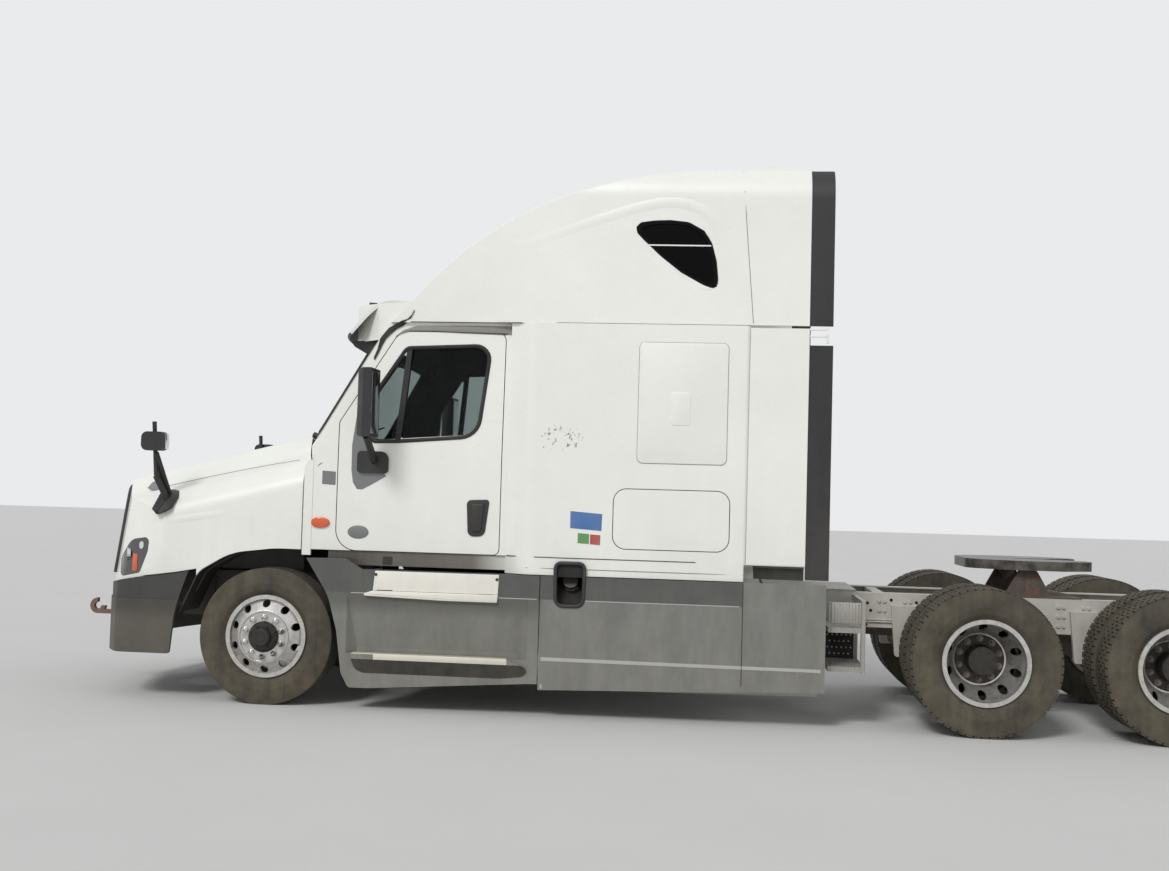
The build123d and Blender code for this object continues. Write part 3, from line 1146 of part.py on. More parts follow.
def main():
    os.makedirs("parts", exist_ok=True)
    sleeper = sleeper_wall()
    roof = roof_wall()
    hood_shell = hood_wall()
    glass = glass_layer()
    nodes = {
        "ladder_frame": ladder_frame(),
        "frame_brackets": frame_brackets(),
        "engine_and_gearbox": engine_and_gearbox(),
        "driveshafts": driveshafts(),
        "radiator": radiator(),
        "front_axle_beam": axle_beam(),
        "front_leaf_springs": both_sides(leaf_spring()),
        "tie_rod": tie_rod(),
        "cab_shell": cab_shell(),
        "sleeper_shell": sleeper_shell(sleeper),
        "roof_fairing": roof_fairing(roof),
        "sun_visor": visor(),
        "fixed_windows": [windshield(glass), *roof_glass()],
        "side_extenders": [s for piece in extenders() for s in both_sides(piece)],
        "extender_edges": [s for piece in extender_edges() for s in both_sides(piece)],
        "hood": hood(hood_shell),
        "fender_liners": both_sides(fender_liner()),
        "grille": grille(),
        "headlamps": headlamps(),
        "hood_mirrors": both_sides(hood_mirror()),
        "front_bumper": bumper(),
        "side_fairings": [s for piece in side_fairings() for s in both_sides(piece)],
        "fuel_tanks": both_sides(fuel_tank()),
        "chassis_boxes": both_sides(chassis_box()),
        "deck_plate": deck(),
        "mud_flaps": both_sides(mud_flap()),
        "tail_lamps": tail_lamps(),
        "marker_lamps": marker_lamps(),
        "fifth_wheel_plate": fifth_wheel_plate(),
        "fifth_wheel_base": fifth_wheel_base(),
        "dashboard": dashboard(),
        "steering_wheel": steering_wheel(),
        "seats": [seat(-560), seat(560)],
        "bunk": bunk(),
        "drive_axles": [drive_axle(x) for x in DRIVE_AXLES_X],
        "trailing_arms": [s for x in DRIVE_AXLES_X for s in both_sides(trailing_arm(x))],
        "air_springs": [s for x in DRIVE_AXLES_X for s in both_sides(air_spring(x))],
    }
    sided = {
        "door": door(),
        "door_glass": door_glass(glass),
        "door_mirror": door_mirror(),
        "luggage_door": luggage_door(),
        "steering_knuckle": knuckle(),
        "front_wheel": front_wheel(),
        "front_tyre": tyre(FRONT_TRACK_HALF, FRONT_TYRE_R, 0),
        "drive_wheels_1": twin_wheels(DRIVE_AXLES_X[0]),
        "drive_tyres_1": twin_tyres(DRIVE_AXLES_X[0]),
        "drive_wheels_2": twin_wheels(DRIVE_AXLES_X[1]),
        "drive_tyres_2": twin_tyres(DRIVE_AXLES_X[1]),
    }
    for name, left in sided.items():
        pieces = left if isinstance(left, list) else [left]
        nodes[f"{name}_left"] = pieces
        nodes[f"{name}_right"] = [mirror(piece, about=Plane.XZ) for piece in pieces]
    for name, shapes in nodes.items():
        write(name, shapes)


main()
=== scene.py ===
from math import cos, hypot, pi, radians, sin

import bmesh
import bpy
from mathutils import Matrix, Vector


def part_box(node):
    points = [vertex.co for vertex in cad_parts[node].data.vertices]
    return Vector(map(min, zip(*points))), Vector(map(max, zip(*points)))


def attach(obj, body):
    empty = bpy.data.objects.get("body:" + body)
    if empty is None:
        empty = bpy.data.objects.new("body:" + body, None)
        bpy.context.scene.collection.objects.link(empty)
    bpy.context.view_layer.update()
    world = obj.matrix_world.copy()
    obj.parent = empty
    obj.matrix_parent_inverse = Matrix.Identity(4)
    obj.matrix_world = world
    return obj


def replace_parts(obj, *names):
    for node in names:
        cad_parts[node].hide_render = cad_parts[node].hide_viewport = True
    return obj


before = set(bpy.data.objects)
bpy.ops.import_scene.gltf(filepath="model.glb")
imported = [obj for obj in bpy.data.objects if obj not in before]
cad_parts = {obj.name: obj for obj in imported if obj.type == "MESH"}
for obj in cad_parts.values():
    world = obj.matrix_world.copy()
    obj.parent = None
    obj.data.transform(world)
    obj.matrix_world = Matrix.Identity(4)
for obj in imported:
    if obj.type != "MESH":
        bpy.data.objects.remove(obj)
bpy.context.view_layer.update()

# Camera. It stands about ten metres to the truck's left, a little above the height of the wheels, and
# leans slightly, as a hand-held camera does.
CAMERA_PLACE = Vector((0.495, -10.398, 1.596))
CAMERA_YAW = -0.1034
CAMERA_PITCH = 0.0446
CAMERA_ROLL = 0.0284
PICTURE_WIDTH = 1169
FOCAL_LENGTH = 1300
ahead = Vector((sin(CAMERA_YAW) * cos(CAMERA_PITCH), cos(CAMERA_YAW) * cos(CAMERA_PITCH), sin(CAMERA_PITCH)))
level = Vector((cos(CAMERA_YAW), -sin(CAMERA_YAW), 0))
upright = level.cross(ahead)
right = level * cos(CAMERA_ROLL) + upright * sin(CAMERA_ROLL)
above = upright * cos(CAMERA_ROLL) - level * sin(CAMERA_ROLL)
camera = bpy.data.objects.new("camera", bpy.data.cameras.new("camera"))
camera.data.sensor_width = 36
camera.data.lens = camera.data.sensor_width * FOCAL_LENGTH / PICTURE_WIDTH
camera.matrix_world = Matrix.Translation(CAMERA_PLACE) @ Matrix((right, above, -ahead)).transposed().to_4x4()
bpy.context.scene.collection.objects.link(camera)
bpy.context.scene.camera = camera
bpy.context.scene.view_settings.view_transform = "Standard"


# Floor and light. A pale studio floor runs on into a pale sky. One broad sun stands behind the camera and
# an even sky fills in around it, so that a colour shows about as it is written.
SKY_STRENGTH = 0.55
SKY_SEEN = 0.86
SUN_STRENGTH = 1.5
SUN_SPREAD = 16
SUN_TURN = (48, 0, -22)
FLOOR_HALF = 60


def shade(red, green, blue):
    """A colour as it shows on a screen, 0 to 255 each, in the linear values that shaders take."""
    parts = [part / 255 for part in (red, green, blue)]
    return (*[((p + 0.055) / 1.055) ** 2.4 if p > 0.04 else p / 12.92 for p in parts], 1)


def connect(tree, made, inputs):
    """Sets a node's inputs to values, or links them to other nodes' outputs."""
    for name, value in inputs.items():
        if isinstance(value, bpy.types.NodeSocket):
            tree.links.new(value, made.inputs[name])
        else:
            made.inputs[name].default_value = value
    return made


def node(tree, kind, inputs=None, **settings):
    """A shader node with its settings made and its inputs set or linked."""
    made = tree.nodes.new("ShaderNode" + kind)
    for name, value in settings.items():
        setattr(made, name, value)
    return connect(tree, made, inputs or {})


def spot(tree, stretch=(1, 1, 1)):
    """Object coordinates, scaled so that a pattern can run longer along one way."""
    spots = node(tree, "TexCoord").outputs["Object"]
    return node(tree, "Mapping", {"Vector": spots, "Scale": stretch}).outputs[0]


def noise(tree, scale, detail=6.0, roughness=0.6, stretch=(1, 1, 1)):
    """A cloudy pattern from 0 to 1, as fine as its scale is large."""
    made = node(tree, "TexNoise", {
        "Vector": spot(tree, stretch), "Scale": scale, "Detail": detail, "Roughness": roughness})
    return made.outputs["Fac"]


def remap(tree, value, low, high, out_low=0.0, out_high=1.0):
    """A value carried from one range to another, and kept within it."""
    return node(tree, "MapRange", {
        "Value": value, "From Min": low, "From Max": high, "To Min": out_low, "To Max": out_high}).outputs[0]


def maths(tree, operation, first, second):
    """Two values put together by one operation, and kept from 0 to 1."""
    return node(tree, "Math", {0: first, 1: second}, operation=operation, use_clamp=True).outputs[0]


def mix(tree, share, first, second):
    """One colour turned into another by a share from 0 to 1."""
    return node(tree, "Mix", {0: share, 6: first, 7: second}, data_type="RGBA").outputs[2]


world = bpy.data.worlds.new("studio")
world.use_nodes = True
sky = world.node_tree
rays = node(sky, "LightPath").outputs
mirrored = maths(sky, "MAXIMUM", rays["Is Glossy Ray"], rays["Is Transmission Ray"])
seen = maths(sky, "MAXIMUM", rays["Is Camera Ray"], mirrored)
connect(sky, sky.nodes["Background"], {
    "Strength": remap(sky, seen, 0.0, 1.0, SKY_STRENGTH, SKY_SEEN), "Color": shade(250, 251, 253)})
bpy.context.scene.world = world

sun = bpy.data.objects.new("sun", bpy.data.lights.new("sun", "SUN"))
sun.data.energy = SUN_STRENGTH
sun.data.angle = radians(SUN_SPREAD)
sun.rotation_euler = [radians(turn) for turn in SUN_TURN]
bpy.context.scene.collection.objects.link(sun)

floor_shape = bmesh.new()
bmesh.ops.create_grid(floor_shape, x_segments=1, y_segments=1, size=FLOOR_HALF)
floor_mesh = bpy.data.meshes.new("floor")
floor_shape.to_mesh(floor_mesh)
floor_finish = bpy.data.materials.new("studio_floor")
floor_finish.use_nodes = True
floor_tree = floor_finish.node_tree
floor_grey = mix(floor_tree, noise(floor_tree, 0.8), shade(206, 206, 204), shade(214, 214, 212))
connect(floor_tree, floor_tree.nodes["Principled BSDF"], {"Base Color": floor_grey, "Roughness": 0.9})
floor_mesh.materials.append(floor_finish)
floor = bpy.data.objects.new("floor", floor_mesh)
bpy.context.scene.collection.objects.link(floor)


# Ladder frame. Two pressed steel channels with crossmembers, brackets and tow hooks, bolted together and
# painted satin black. Grey road dust lies on it, and rust comes through on edges and on the bare hooks.
ROAD_DUST = shade(142, 135, 123)
MUD_FROM_X = 3300
MUD_FULL_X = 4100
NOSE_X = -1470
FRONT_AXLE_X = sum(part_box("front_tyre_left"), Vector()).x / 2


def effect(name, inputs, outputs):
    """A shader node group with named inputs (socket kind and value) and named outputs."""
    tree = bpy.data.node_groups.new(name, "ShaderNodeTree")
    for label, (kind, value) in inputs.items():
        socket = tree.interface.new_socket(label, in_out="INPUT", socket_type="NodeSocket" + kind)
        socket.default_value = value
    for label, kind in outputs.items():
        tree.interface.new_socket(label, in_out="OUTPUT", socket_type="NodeSocket" + kind)
    return tree, tree.nodes.new("NodeGroupInput").outputs, tree.nodes.new("NodeGroupOutput")


def between(tree, share, first, second):
    """One number turned into another by a share from 0 to 1."""
    return node(tree, "Mix", {0: share, 2: first, 3: second}).outputs[0]


# Road dirt lies thick low down and thin higher up, in clouds with streaks that run down.
road_dirt, dirt_in, dirt_out = effect("road_dirt", {
    "Clean": ("Color", (1, 1, 1, 1)), "Dirt": ("Color", ROAD_DUST), "Amount": ("Float", 1.0),
    "Reach": ("Float", 1.4), "Least": ("Float", 0.0), "Scale": ("Float", 3.0),
}, {"Color": "Color", "Mask": "Float"})
rise = node(road_dirt, "SeparateXYZ", {"Vector": spot(road_dirt)}).outputs["Z"]
fade = remap(road_dirt, rise, 0.1, dirt_in["Reach"], 1.0, dirt_in["Least"])
clouds = noise(road_dirt, dirt_in["Scale"], 9.0, 0.68)
streaks = noise(road_dirt, 1.6, 5.0, 0.6, (9, 9, 0.7))
patches = between(road_dirt, 0.38, clouds, streaks)
lie = maths(road_dirt, "MULTIPLY", fade, remap(road_dirt, patches, 0.38, 0.62, 0.25))
film = maths(road_dirt, "MULTIPLY", lie, dirt_in["Amount"])
connect(road_dirt, dirt_out, {"Color": mix(road_dirt, film, dirt_in["Clean"], dirt_in["Dirt"]), "Mask": film})

# Rust comes in blotches; more of it joins them up.
rust_spots, rust_in, rust_out = effect("rust_spots", {
    "Clean": ("Color", (0, 0, 0, 1)), "Amount": ("Float", 0.5), "Scale": ("Float", 7.0),
}, {"Color": "Color", "Mask": "Float"})
edge = node(rust_spots, "MapRange", {"Value": rust_in["Amount"], "To Min": 0.75, "To Max": 0.2}).outputs[0]
soft_edge = node(rust_spots, "Math", {0: edge, 1: 0.1}, operation="ADD").outputs[0]
blotches = remap(rust_spots, noise(rust_spots, rust_in["Scale"], 10.0, 0.72), edge, soft_edge)
grit = remap(rust_spots, noise(rust_spots, 60.0, 4.0), 0.35, 0.65)
rust_colour = mix(rust_spots, grit, shade(70, 38, 26), shade(142, 86, 54))
rusted = mix(rust_spots, blotches, rust_in["Clean"], rust_colour)
connect(rust_spots, rust_out, {"Color": rusted, "Mask": blotches})


def use(tree, group, inputs):
    """A shader group placed in a material with its own values."""
    made = tree.nodes.new("ShaderNodeGroup")
    made.node_tree = group
    return connect(tree, made, inputs).outputs


def surface(name, clean, roughness, metallic=0.0, dirt=0.5, reach=1.4, least=0.0, dust=ROAD_DUST, cloud=3.0,
            rust=0.0, rust_scale=7.0, grain=90.0, depth=0.0003, relief=None, mottle=0.06, plain=None):
    """A weathered finish. clean is the bare colour, or a function that draws one in the material's tree;
    relief is a function that draws its height. Over it come mottling, rust and then road dirt. Dirt thins
    out up to the height reach, to a least share; plain sets the shader's own sockets."""
    made = bpy.data.materials.new(name)
    made.use_nodes = True
    tree = made.node_tree
    shader = tree.nodes["Principled BSDF"]
    colour = clean(tree) if callable(clean) else clean
    worn = remap(tree, noise(tree, 5.0, 8.0, 0.65), 0.3, 0.7, 0.0, mottle)
    colour = mix(tree, worn, colour, shade(90, 86, 80))
    polish = remap(tree, noise(tree, 11.0, 6.0, 0.6), 0.3, 0.7, roughness * 0.85, min(roughness * 1.15, 1.0))
    shine = metallic
    if rust:
        rusted = use(tree, rust_spots, {"Clean": colour, "Amount": rust, "Scale": rust_scale})
        colour = rusted["Color"]
        polish = between(tree, rusted["Mask"], polish, 0.85)
        shine = between(tree, rusted["Mask"], metallic, 0.1 * metallic)
    if dirt:
        dirty = use(tree, road_dirt, {
            "Clean": colour, "Dirt": dust, "Amount": dirt, "Reach": reach, "Least": least, "Scale": cloud})
        colour = dirty["Color"]
        polish = between(tree, dirty["Mask"], polish, 0.9)
        if metallic:
            shine = between(tree, dirty["Mask"], shine, 0.0)
    height = noise(tree, grain, 4.0)
    if relief:
        height = node(tree, "Math", {0: height, 1: relief(tree)}, operation="ADD").outputs[0]
    bump = node(tree, "Bump", {"Height": height, "Distance": depth, "Strength": 1.0}).outputs["Normal"]
    connect(tree, shader, {"Base Color": colour, "Roughness": polish, "Metallic": shine, "Normal": bump})
    connect(tree, shader, plain or {})
    return made


def dress(material, *names):
    """Gives CAD nodes a finish."""
    for name in names:
        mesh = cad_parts[name].data
        mesh.materials.clear()
        mesh.materials.append(material)


def at(x, y, z):
    """A place in millimetres behind the front axle, right of the middle and above the ground."""
    return Vector((FRONT_AXLE_X + x / 1000, y / 1000, z / 1000))


def block(shape, low, high, soft=0.0, steps=2):
    """A box between two corners, its edges rounded if it is to be soft."""
    middle = (low + high) / 2
    size = Matrix.Diagonal((*(high - low), 1))
    made = bmesh.ops.create_cube(shape, size=1, matrix=Matrix.Translation(middle) @ size)["verts"]
    if soft:
        edges = list({edge for vert in made for edge in vert.link_edges})
        bmesh.ops.bevel(shape, geom=edges, offset=soft, segments=steps, profile=0.5, affect="EDGES",
                        material=-1)


def bar(shape, start, end, radius, end_radius=None, steps=20):
    """A round bar, or a cone, between two places."""
    along = end - start
    turn = along.to_track_quat("Z", "Y").to_matrix().to_4x4()
    bmesh.ops.create_cone(
        shape, cap_ends=True, segments=steps, radius1=radius,
        radius2=radius if end_radius is None else end_radius,
        depth=along.length, matrix=Matrix.Translation((start + end) / 2) @ turn)


def piece(name, shape, material, body, crease=35):
    """Makes an object of a bmesh, smooth but for its sharp edges, and lets it ride on its body."""
    bmesh.ops.recalc_face_normals(shape, faces=shape.faces)
    mesh = bpy.data.meshes.new(name)
    shape.to_mesh(mesh)
    shape.free()
    mesh.materials.append(material)
    mesh.shade_smooth()
    mesh.set_sharp_from_angle(angle=radians(crease))
    made = bpy.data.objects.new(name, mesh)
    bpy.context.scene.collection.objects.link(made)
    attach(made, body)
    return made


def paint_and_dust(tree):
    """Satin black in front, greyer with dried mud from the deck back, and bare rust on the tow hooks."""
    along = node(tree, "SeparateXYZ", {"Vector": spot(tree)}).outputs["X"]
    back = remap(tree, along, at(MUD_FROM_X, 0, 0).x, at(MUD_FULL_X, 0, 0).x)
    ahead_of_nose = remap(tree, along, at(NOSE_X - 20, 0, 0).x, at(NOSE_X, 0, 0).x, 1.0, 0.0)
    grey = mix(tree, back, shade(44, 44, 46), shade(206, 203, 196))
    return mix(tree, ahead_of_nose, grey, shade(104, 66, 46))


chassis_black = surface("chassis_black", paint_and_dust, 0.5, dirt=0.7, reach=1.3, least=0.25, cloud=6.0,
                        rust=0.14, rust_scale=9.0)
dress(chassis_black, "ladder_frame", "frame_brackets", "chassis_boxes")


# Frame bolts and lines. Hexagon bolts run in two rows at each crossmember and hanger, empty bolt holes show
# between them as near-black discs of painted shade, and two air pipes are clipped along the outside of the
# left rail's web.
RAIL_FACE_Y = 430
BOLT_RADIUS = 0.013
CROSSMEMBER_PLACES = (-1236, 1300, 2300, 3500, 4450, 4640, 5750, 5930, 7090)
BOLT_COLUMNS = (20, 60)
BOLT_HEIGHTS = (715, 785, 855)
RAIL_HOLES = ((4332, 846), (4385, 837), (4410, 782), (4335, 693), (4375, 676), (4560, 864), (4600, 782),
              (4602, 700), (4745, 851), (5380, 850), (5480, 700), (5600, 780), (6200, 700), (6300, 850),
              (6800, 700), (6900, 850))
HOLE_RADIUS = 0.012
PIPE_HEIGHTS = (700, 716)
PIPE_RADIUS = 0.006
PIPE_RUN = (2400, 4700)
CLIP_SPACING = 450


def hexagon_bolt(shape, place, outward, radius=BOLT_RADIUS):
    """A washer and a hexagon head standing out of a face."""
    bar(shape, place, place + outward * radius * 0.25, radius * 1.3, steps=12)
    bar(shape, place, place + outward * radius * 0.95, radius, radius * 0.94, steps=6)


bolts = bmesh.new()
holes = bmesh.new()
for side in (-1, 1):
    outward = Vector((0, side, 0))
    for x in CROSSMEMBER_PLACES:
        for column in BOLT_COLUMNS:
            for z in BOLT_HEIGHTS:
                hexagon_bolt(bolts, at(x + column, side * RAIL_FACE_Y, z), outward)
    for x, z in RAIL_HOLES:
        face = at(x, side * RAIL_FACE_Y, z)
        bar(holes, face, face + outward * 0.001, HOLE_RADIUS, steps=18)
piece("frame_bolts", bolts, chassis_black, "chassis")
# Each hole is a near-black disc on the web: painted shade for the hole's dark inside.
hole_shade_black = surface("open_holes_painted_shade", shade(8, 8, 8), 0.9, dirt=0.1)
piece("rail_holes", holes, hole_shade_black, "chassis")
pipes = bmesh.new()
first_x, last_x = PIPE_RUN
for z in PIPE_HEIGHTS:
    bar(pipes, at(first_x, -RAIL_FACE_Y - 10, z), at(last_x, -RAIL_FACE_Y - 10, z), PIPE_RADIUS, steps=10)
for x in range(first_x + 50, last_x, CLIP_SPACING):
    block(pipes, at(x, -RAIL_FACE_Y - 18, 692), at(x + 26, -RAIL_FACE_Y, 724), 0.003)
piece("air_pipes", pipes, chassis_black, "chassis")


# Engine, gearbox, shafts and radiator. Cast housings in dull grey under oil film and dust, with a finned
# core in front that is seen through the grille.
engine_grey = surface("engine_castings", shade(92, 94, 96), 0.6, metallic=0.3, dirt=0.7, reach=1.6, least=0.3,
                      rust=0.12, grain=40.0, depth=0.0015)
dress(engine_grey, "engine_and_gearbox")
forged = surface("forged_steel", shade(70, 64, 60), 0.7, metallic=0.35, dirt=0.75, reach=1.3, least=0.4,
                 rust=0.45, rust_scale=11.0, grain=50.0, depth=0.0012)
dress(forged, "driveshafts", "front_axle_beam", "tie_rod", "steering_knuckle_left", "steering_knuckle_right",
      "drive_axles", "trailing_arms")


def bands(tree, axis, scale):
    """Even bands across one axis, for fins or leaves."""
    along = [int(name == axis) for name in "XYZ"]
    inputs = {"Vector": spot(tree, along), "Scale": scale}
    return node(tree, "TexWave", inputs, bands_direction=axis).outputs["Fac"]


def fins(tree):
    """The upright fins of a radiator's core."""
    return bands(tree, "Y", 60.0)


radiator_black = surface("radiator_core", shade(34, 34, 35), 0.55, metallic=0.4, dirt=0.45, reach=2.0,
                         least=0.3, relief=fins, depth=0.003)
dress(radiator_black, "radiator")


# Front springs. Bowed leaf packs, clamped to the axle by two U-bolts each, with a damper beside each one
# between the axle seat and the rail.
SPRING_Y = 385
U_BOLT_X = 50
U_BOLT_HALF = 54
U_BOLT_RADIUS = 0.009
U_BOLT_Z = (395, 580)
BOW_Z = 560
CLAMP_PLATE_X = 72
CLAMP_PLATE_Z = (545, 557)
DAMPER = (((95, 500, 470), (150, 462, 700), 0.034), ((140, 466, 660), (165, 452, 820), 0.042))


def leaves(tree):
    """The stacked leaves of a spring."""
    return bands(tree, "Z", 24.0)


spring_steel = surface("spring_leaves", shade(64, 58, 54), 0.7, metallic=0.3, dirt=0.7, least=0.4, rust=0.4,
                       relief=leaves, depth=0.004)
dress(spring_steel, "front_leaf_springs")
clamps = bmesh.new()
for side in (-1, 1):
    low_y, high_y = side * SPRING_Y - U_BOLT_HALF, side * SPRING_Y + U_BOLT_HALF
    for x in (-U_BOLT_X, U_BOLT_X):
        for y in (low_y, high_y):
            bar(clamps, at(x, y, U_BOLT_Z[0]), at(x, y, U_BOLT_Z[1]), U_BOLT_RADIUS, steps=12)
            bar(clamps, at(x, y, BOW_Z), at(x, y, U_BOLT_Z[1]), 0.015, steps=6)
        bar(clamps, at(x, low_y, BOW_Z), at(x, high_y, BOW_Z), U_BOLT_RADIUS, steps=12)
    block(clamps, at(-CLAMP_PLATE_X, low_y - 8, CLAMP_PLATE_Z[0]),
          at(CLAMP_PLATE_X, high_y + 8, CLAMP_PLATE_Z[1]), 0.003)
    for low, high, radius in DAMPER:
        bar(clamps, *(at(x, side * y, z) for x, y, z in (low, high)), radius)
piece("spring_clamps_and_dampers", clamps, forged, "chassis")


# Wheels. Forged aluminium discs with ten round hand holes, held by ten flanged nuts; the steered pair stand
# out over their hubs under pointed chrome covers, and the twin pairs are dished and oily round their nuts.
# What shows through the hand holes behind each disc is dark iron, partly grime and partly painted shade.
BOLT_CIRCLE = 0.1429
WHEEL_NUTS = 10
NUT_RADIUS = 0.0175
NUT_HEIGHT = 0.03
RIM_INSIDE = 0.273
FRONT_FACE_Y = 1.205
FRONT_DISC_BACK_Y = 1.12
CAP_FACE_Y = 1.272
CAP_CIRCLE = 0.077
CAP_BOLTS = 6
HUB_EDGE = 0.109
DISC_BEAD = ((0.0, 0.176), (0.008, 0.178), (0.008, 0.186), (0.0, 0.188))
HUB_RING = ((-0.004, 0.066), (0.031, 0.066), (0.031, 0.088), (0.006, 0.112), (-0.004, 0.112))
TWIN_FACE_Y = 0.947
TWIN_DISC_BACK_Y = 0.93
TWIN_RIM_Y = 1.08
OILY_EDGE = 0.172
FLANGE_FACE_Y = 1.075
FLANGE_BOLTS = 8
FLANGE_CIRCLE = 0.079
FLANGE_SKIN = ((-0.012, 0.0955), (-0.012, 0.0975), (0.003, 0.0955), (0.003, 0.001), (0.001, 0.001),
               (0.001, 0.093))


def brushed(tree):
    """Aluminium wiped bright in places and dull in others."""
    fine = noise(tree, 26.0, 8.0, 0.7)
    return mix(tree, remap(tree, fine, 0.35, 0.7), shade(232, 231, 229), shade(196, 191, 184))


alloy = surface("wheel_alloy", brushed, 0.2, metallic=0.92, dirt=0.34, reach=1.5, least=0.3,
                dust=shade(120, 108, 96), cloud=12.0, grain=120.0, depth=0.0002)
nut_steel = surface("wheel_nuts", shade(128, 120, 112), 0.4, metallic=0.75, dirt=0.5, least=0.6, rust=0.3,
                    rust_scale=20.0, dust=shade(110, 96, 82))
chrome = surface("nut_covers", shade(214, 214, 214), 0.14, metallic=1.0, dirt=0.3, least=0.2, rust=0.1,
                 rust_scale=20.0, dust=shade(120, 108, 96))
oily_iron_and_shade = surface("oily_hubs_and_shade", shade(40, 38, 37), 0.45, metallic=0.4, dirt=0.3, least=0.3, rust=0.15,
                    rust_scale=20.0, dust=shade(96, 88, 78))


def axis_of(tyre_name):
    """Where a tyre's axis crosses the truck's middle plane."""
    middle = sum(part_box(tyre_name), Vector()) / 2
    middle.y = 0
    return middle


def blacken(name, hub, disc_back, rim_end, face, edge):
    """Dark iron on what lies behind a wheel's disc and on its hidden rim, where it is partly grime and partly
    painted shade seen through the hand holes, and oily iron round the hub in front of it.
    """
    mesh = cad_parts[name].data
    mesh.materials.append(oily_iron_and_shade)
    for polygon in mesh.polygons:
        away = polygon.center - hub
        radius, out = hypot(away.x, away.z), abs(away.y)
        # Behind the disc the dark iron stands partly for grime and partly for painted shade.
        hidden = radius < RIM_INSIDE and (out < disc_back or out < rim_end and radius > RIM_INSIDE - 0.02)
        polygon.material_index = int(hidden or out > face and radius < edge)


def hoop(count, radius, centre, start=0.0):
    """Places spaced evenly round a wheel's axis."""
    turns = [start + 2 * pi * k / count for k in range(count)]
    return [centre + Vector((radius * cos(turn), 0, radius * sin(turn))) for turn in turns]


def lug_nut(shape, place, outward, pointed=False):
    """A flanged nut with its stud's end, or one under a pointed chrome cover."""
    bar(shape, place, place + outward * 0.005, NUT_RADIUS * 1.35, steps=20)
    tip = place + outward * (NUT_HEIGHT - 0.002)
    if pointed:
        bar(shape, place + outward * 0.004, tip, NUT_RADIUS * 1.25, NUT_RADIUS * 1.1, steps=20)
        bar(shape, tip, tip + outward * 0.032, NUT_RADIUS * 1.1, 0.004, steps=20)
        return
    bar(shape, place + outward * 0.004, place + outward * NUT_HEIGHT, NUT_RADIUS, NUT_RADIUS * 0.93, steps=6)
    bar(shape, tip, tip + outward * 0.014, 0.010, 0.009, steps=12)


def turned(shape, profile, centre, outward, steps=64):
    """A closed profile of (distance out, radius) points spun about a wheel's axis."""
    ring = [shape.verts.new(centre + outward * out + Vector((0, 0, radius))) for out, radius in profile]
    edges = [shape.edges.new((ring[k - 1], ring[k])) for k in range(len(ring))]
    bmesh.ops.spin(shape, geom=ring + edges, cent=centre, axis=outward, angle=2 * pi, steps=steps,
                   use_merge=True)
    bmesh.ops.remove_doubles(shape, verts=shape.verts, dist=1e-6)


for side, name in ((-1, "left"), (1, "right")):
    outward = Vector((0, side, 0))
    wheel = f"front_wheel_{name}"
    dress(alloy, wheel)
    hub = axis_of(f"front_tyre_{name}")
    face = hub + outward * FRONT_FACE_Y
    blacken(wheel, hub, FRONT_DISC_BACK_Y, FRONT_DISC_BACK_Y, FRONT_FACE_Y + 0.002, HUB_EDGE)
    nuts = bmesh.new()
    for place in hoop(WHEEL_NUTS, BOLT_CIRCLE, face, 0.3):
        lug_nut(nuts, place, outward, pointed=True)
    turned(nuts, DISC_BEAD, face, outward)
    piece(f"front_nuts_{name}", nuts, chrome, wheel)
    hub_ring = bmesh.new()
    bar(hub_ring, hub + outward * CAP_FACE_Y, hub + outward * (CAP_FACE_Y + 0.004), 0.034, 0.031, steps=32)
    turned(hub_ring, HUB_RING, face, outward)
    for place in hoop(CAP_BOLTS, CAP_CIRCLE, face + outward * 0.029):
        hexagon_bolt(hub_ring, place, outward, 0.008)
    piece(f"hub_ring_{name}", hub_ring, oily_iron_and_shade, wheel)
    for axle in (1, 2):
        wheel = f"drive_wheels_{axle}_{name}"
        dress(alloy, wheel)
        hub = axis_of(f"drive_tyres_{axle}_{name}")
        blacken(wheel, hub, TWIN_DISC_BACK_Y, TWIN_RIM_Y, TWIN_FACE_Y - 0.004, OILY_EDGE)
        nuts = bmesh.new()
        for place in hoop(WHEEL_NUTS, BOLT_CIRCLE, hub + outward * TWIN_FACE_Y, 0.3):
            lug_nut(nuts, place, outward)
        piece(f"drive_nuts_{axle}_{name}", nuts, nut_steel, wheel)
        flange = bmesh.new()
        face = hub + outward * FLANGE_FACE_Y
        turned(flange, FLANGE_SKIN, face, outward)
        for place in hoop(FLANGE_BOLTS, FLANGE_CIRCLE, face, 0.2):
            hexagon_bolt(flange, place, outward, 0.011)
        piece(f"axle_flange_{axle}_{name}", flange, oily_iron_and_shade, wheel)


# Tyres. Dusty black rubber: ribbed treads in front, blocks in five rows behind, and raised rings round the
# sidewalls where a maker's lettering would be. Each replaces the plain ring that carries the truck.
FRONT_TYRE_Y = 1.05
TWIN_TYRE_Y = (0.7535, 1.0965)
TYRE_HALF = 0.137
BEAD_HALF = 0.098
BEAD_RADIUS = 0.2865
TREAD_HALF = 0.118
GROOVE_DEPTH = 0.013
RIBS = ((-0.118, -0.078), (-0.07, -0.032), (-0.024, 0.024), (0.032, 0.07), (0.078, 0.118))
BLOCK_ROWS = ((-0.118, -0.074, 0.0), (-0.066, -0.03, 0.5), (-0.022, 0.022, 0.0), (0.03, 0.066, 0.5),
              (0.074, 0.118, 0.0))
BLOCKS_ROUND = 58
BLOCK_SHARE = 0.8


def rubber_lines(tree):
    """The fine, uneven skin of a worn sidewall."""
    return noise(tree, 30.0, 8.0, 0.7)


tyre_rubber = surface("tyre_rubber", shade(44, 43, 41), 0.82, dirt=0.75, reach=1.6, least=0.5, cloud=6.0,
                      dust=shade(112, 103, 84), grain=160.0, relief=rubber_lines, depth=0.0012)


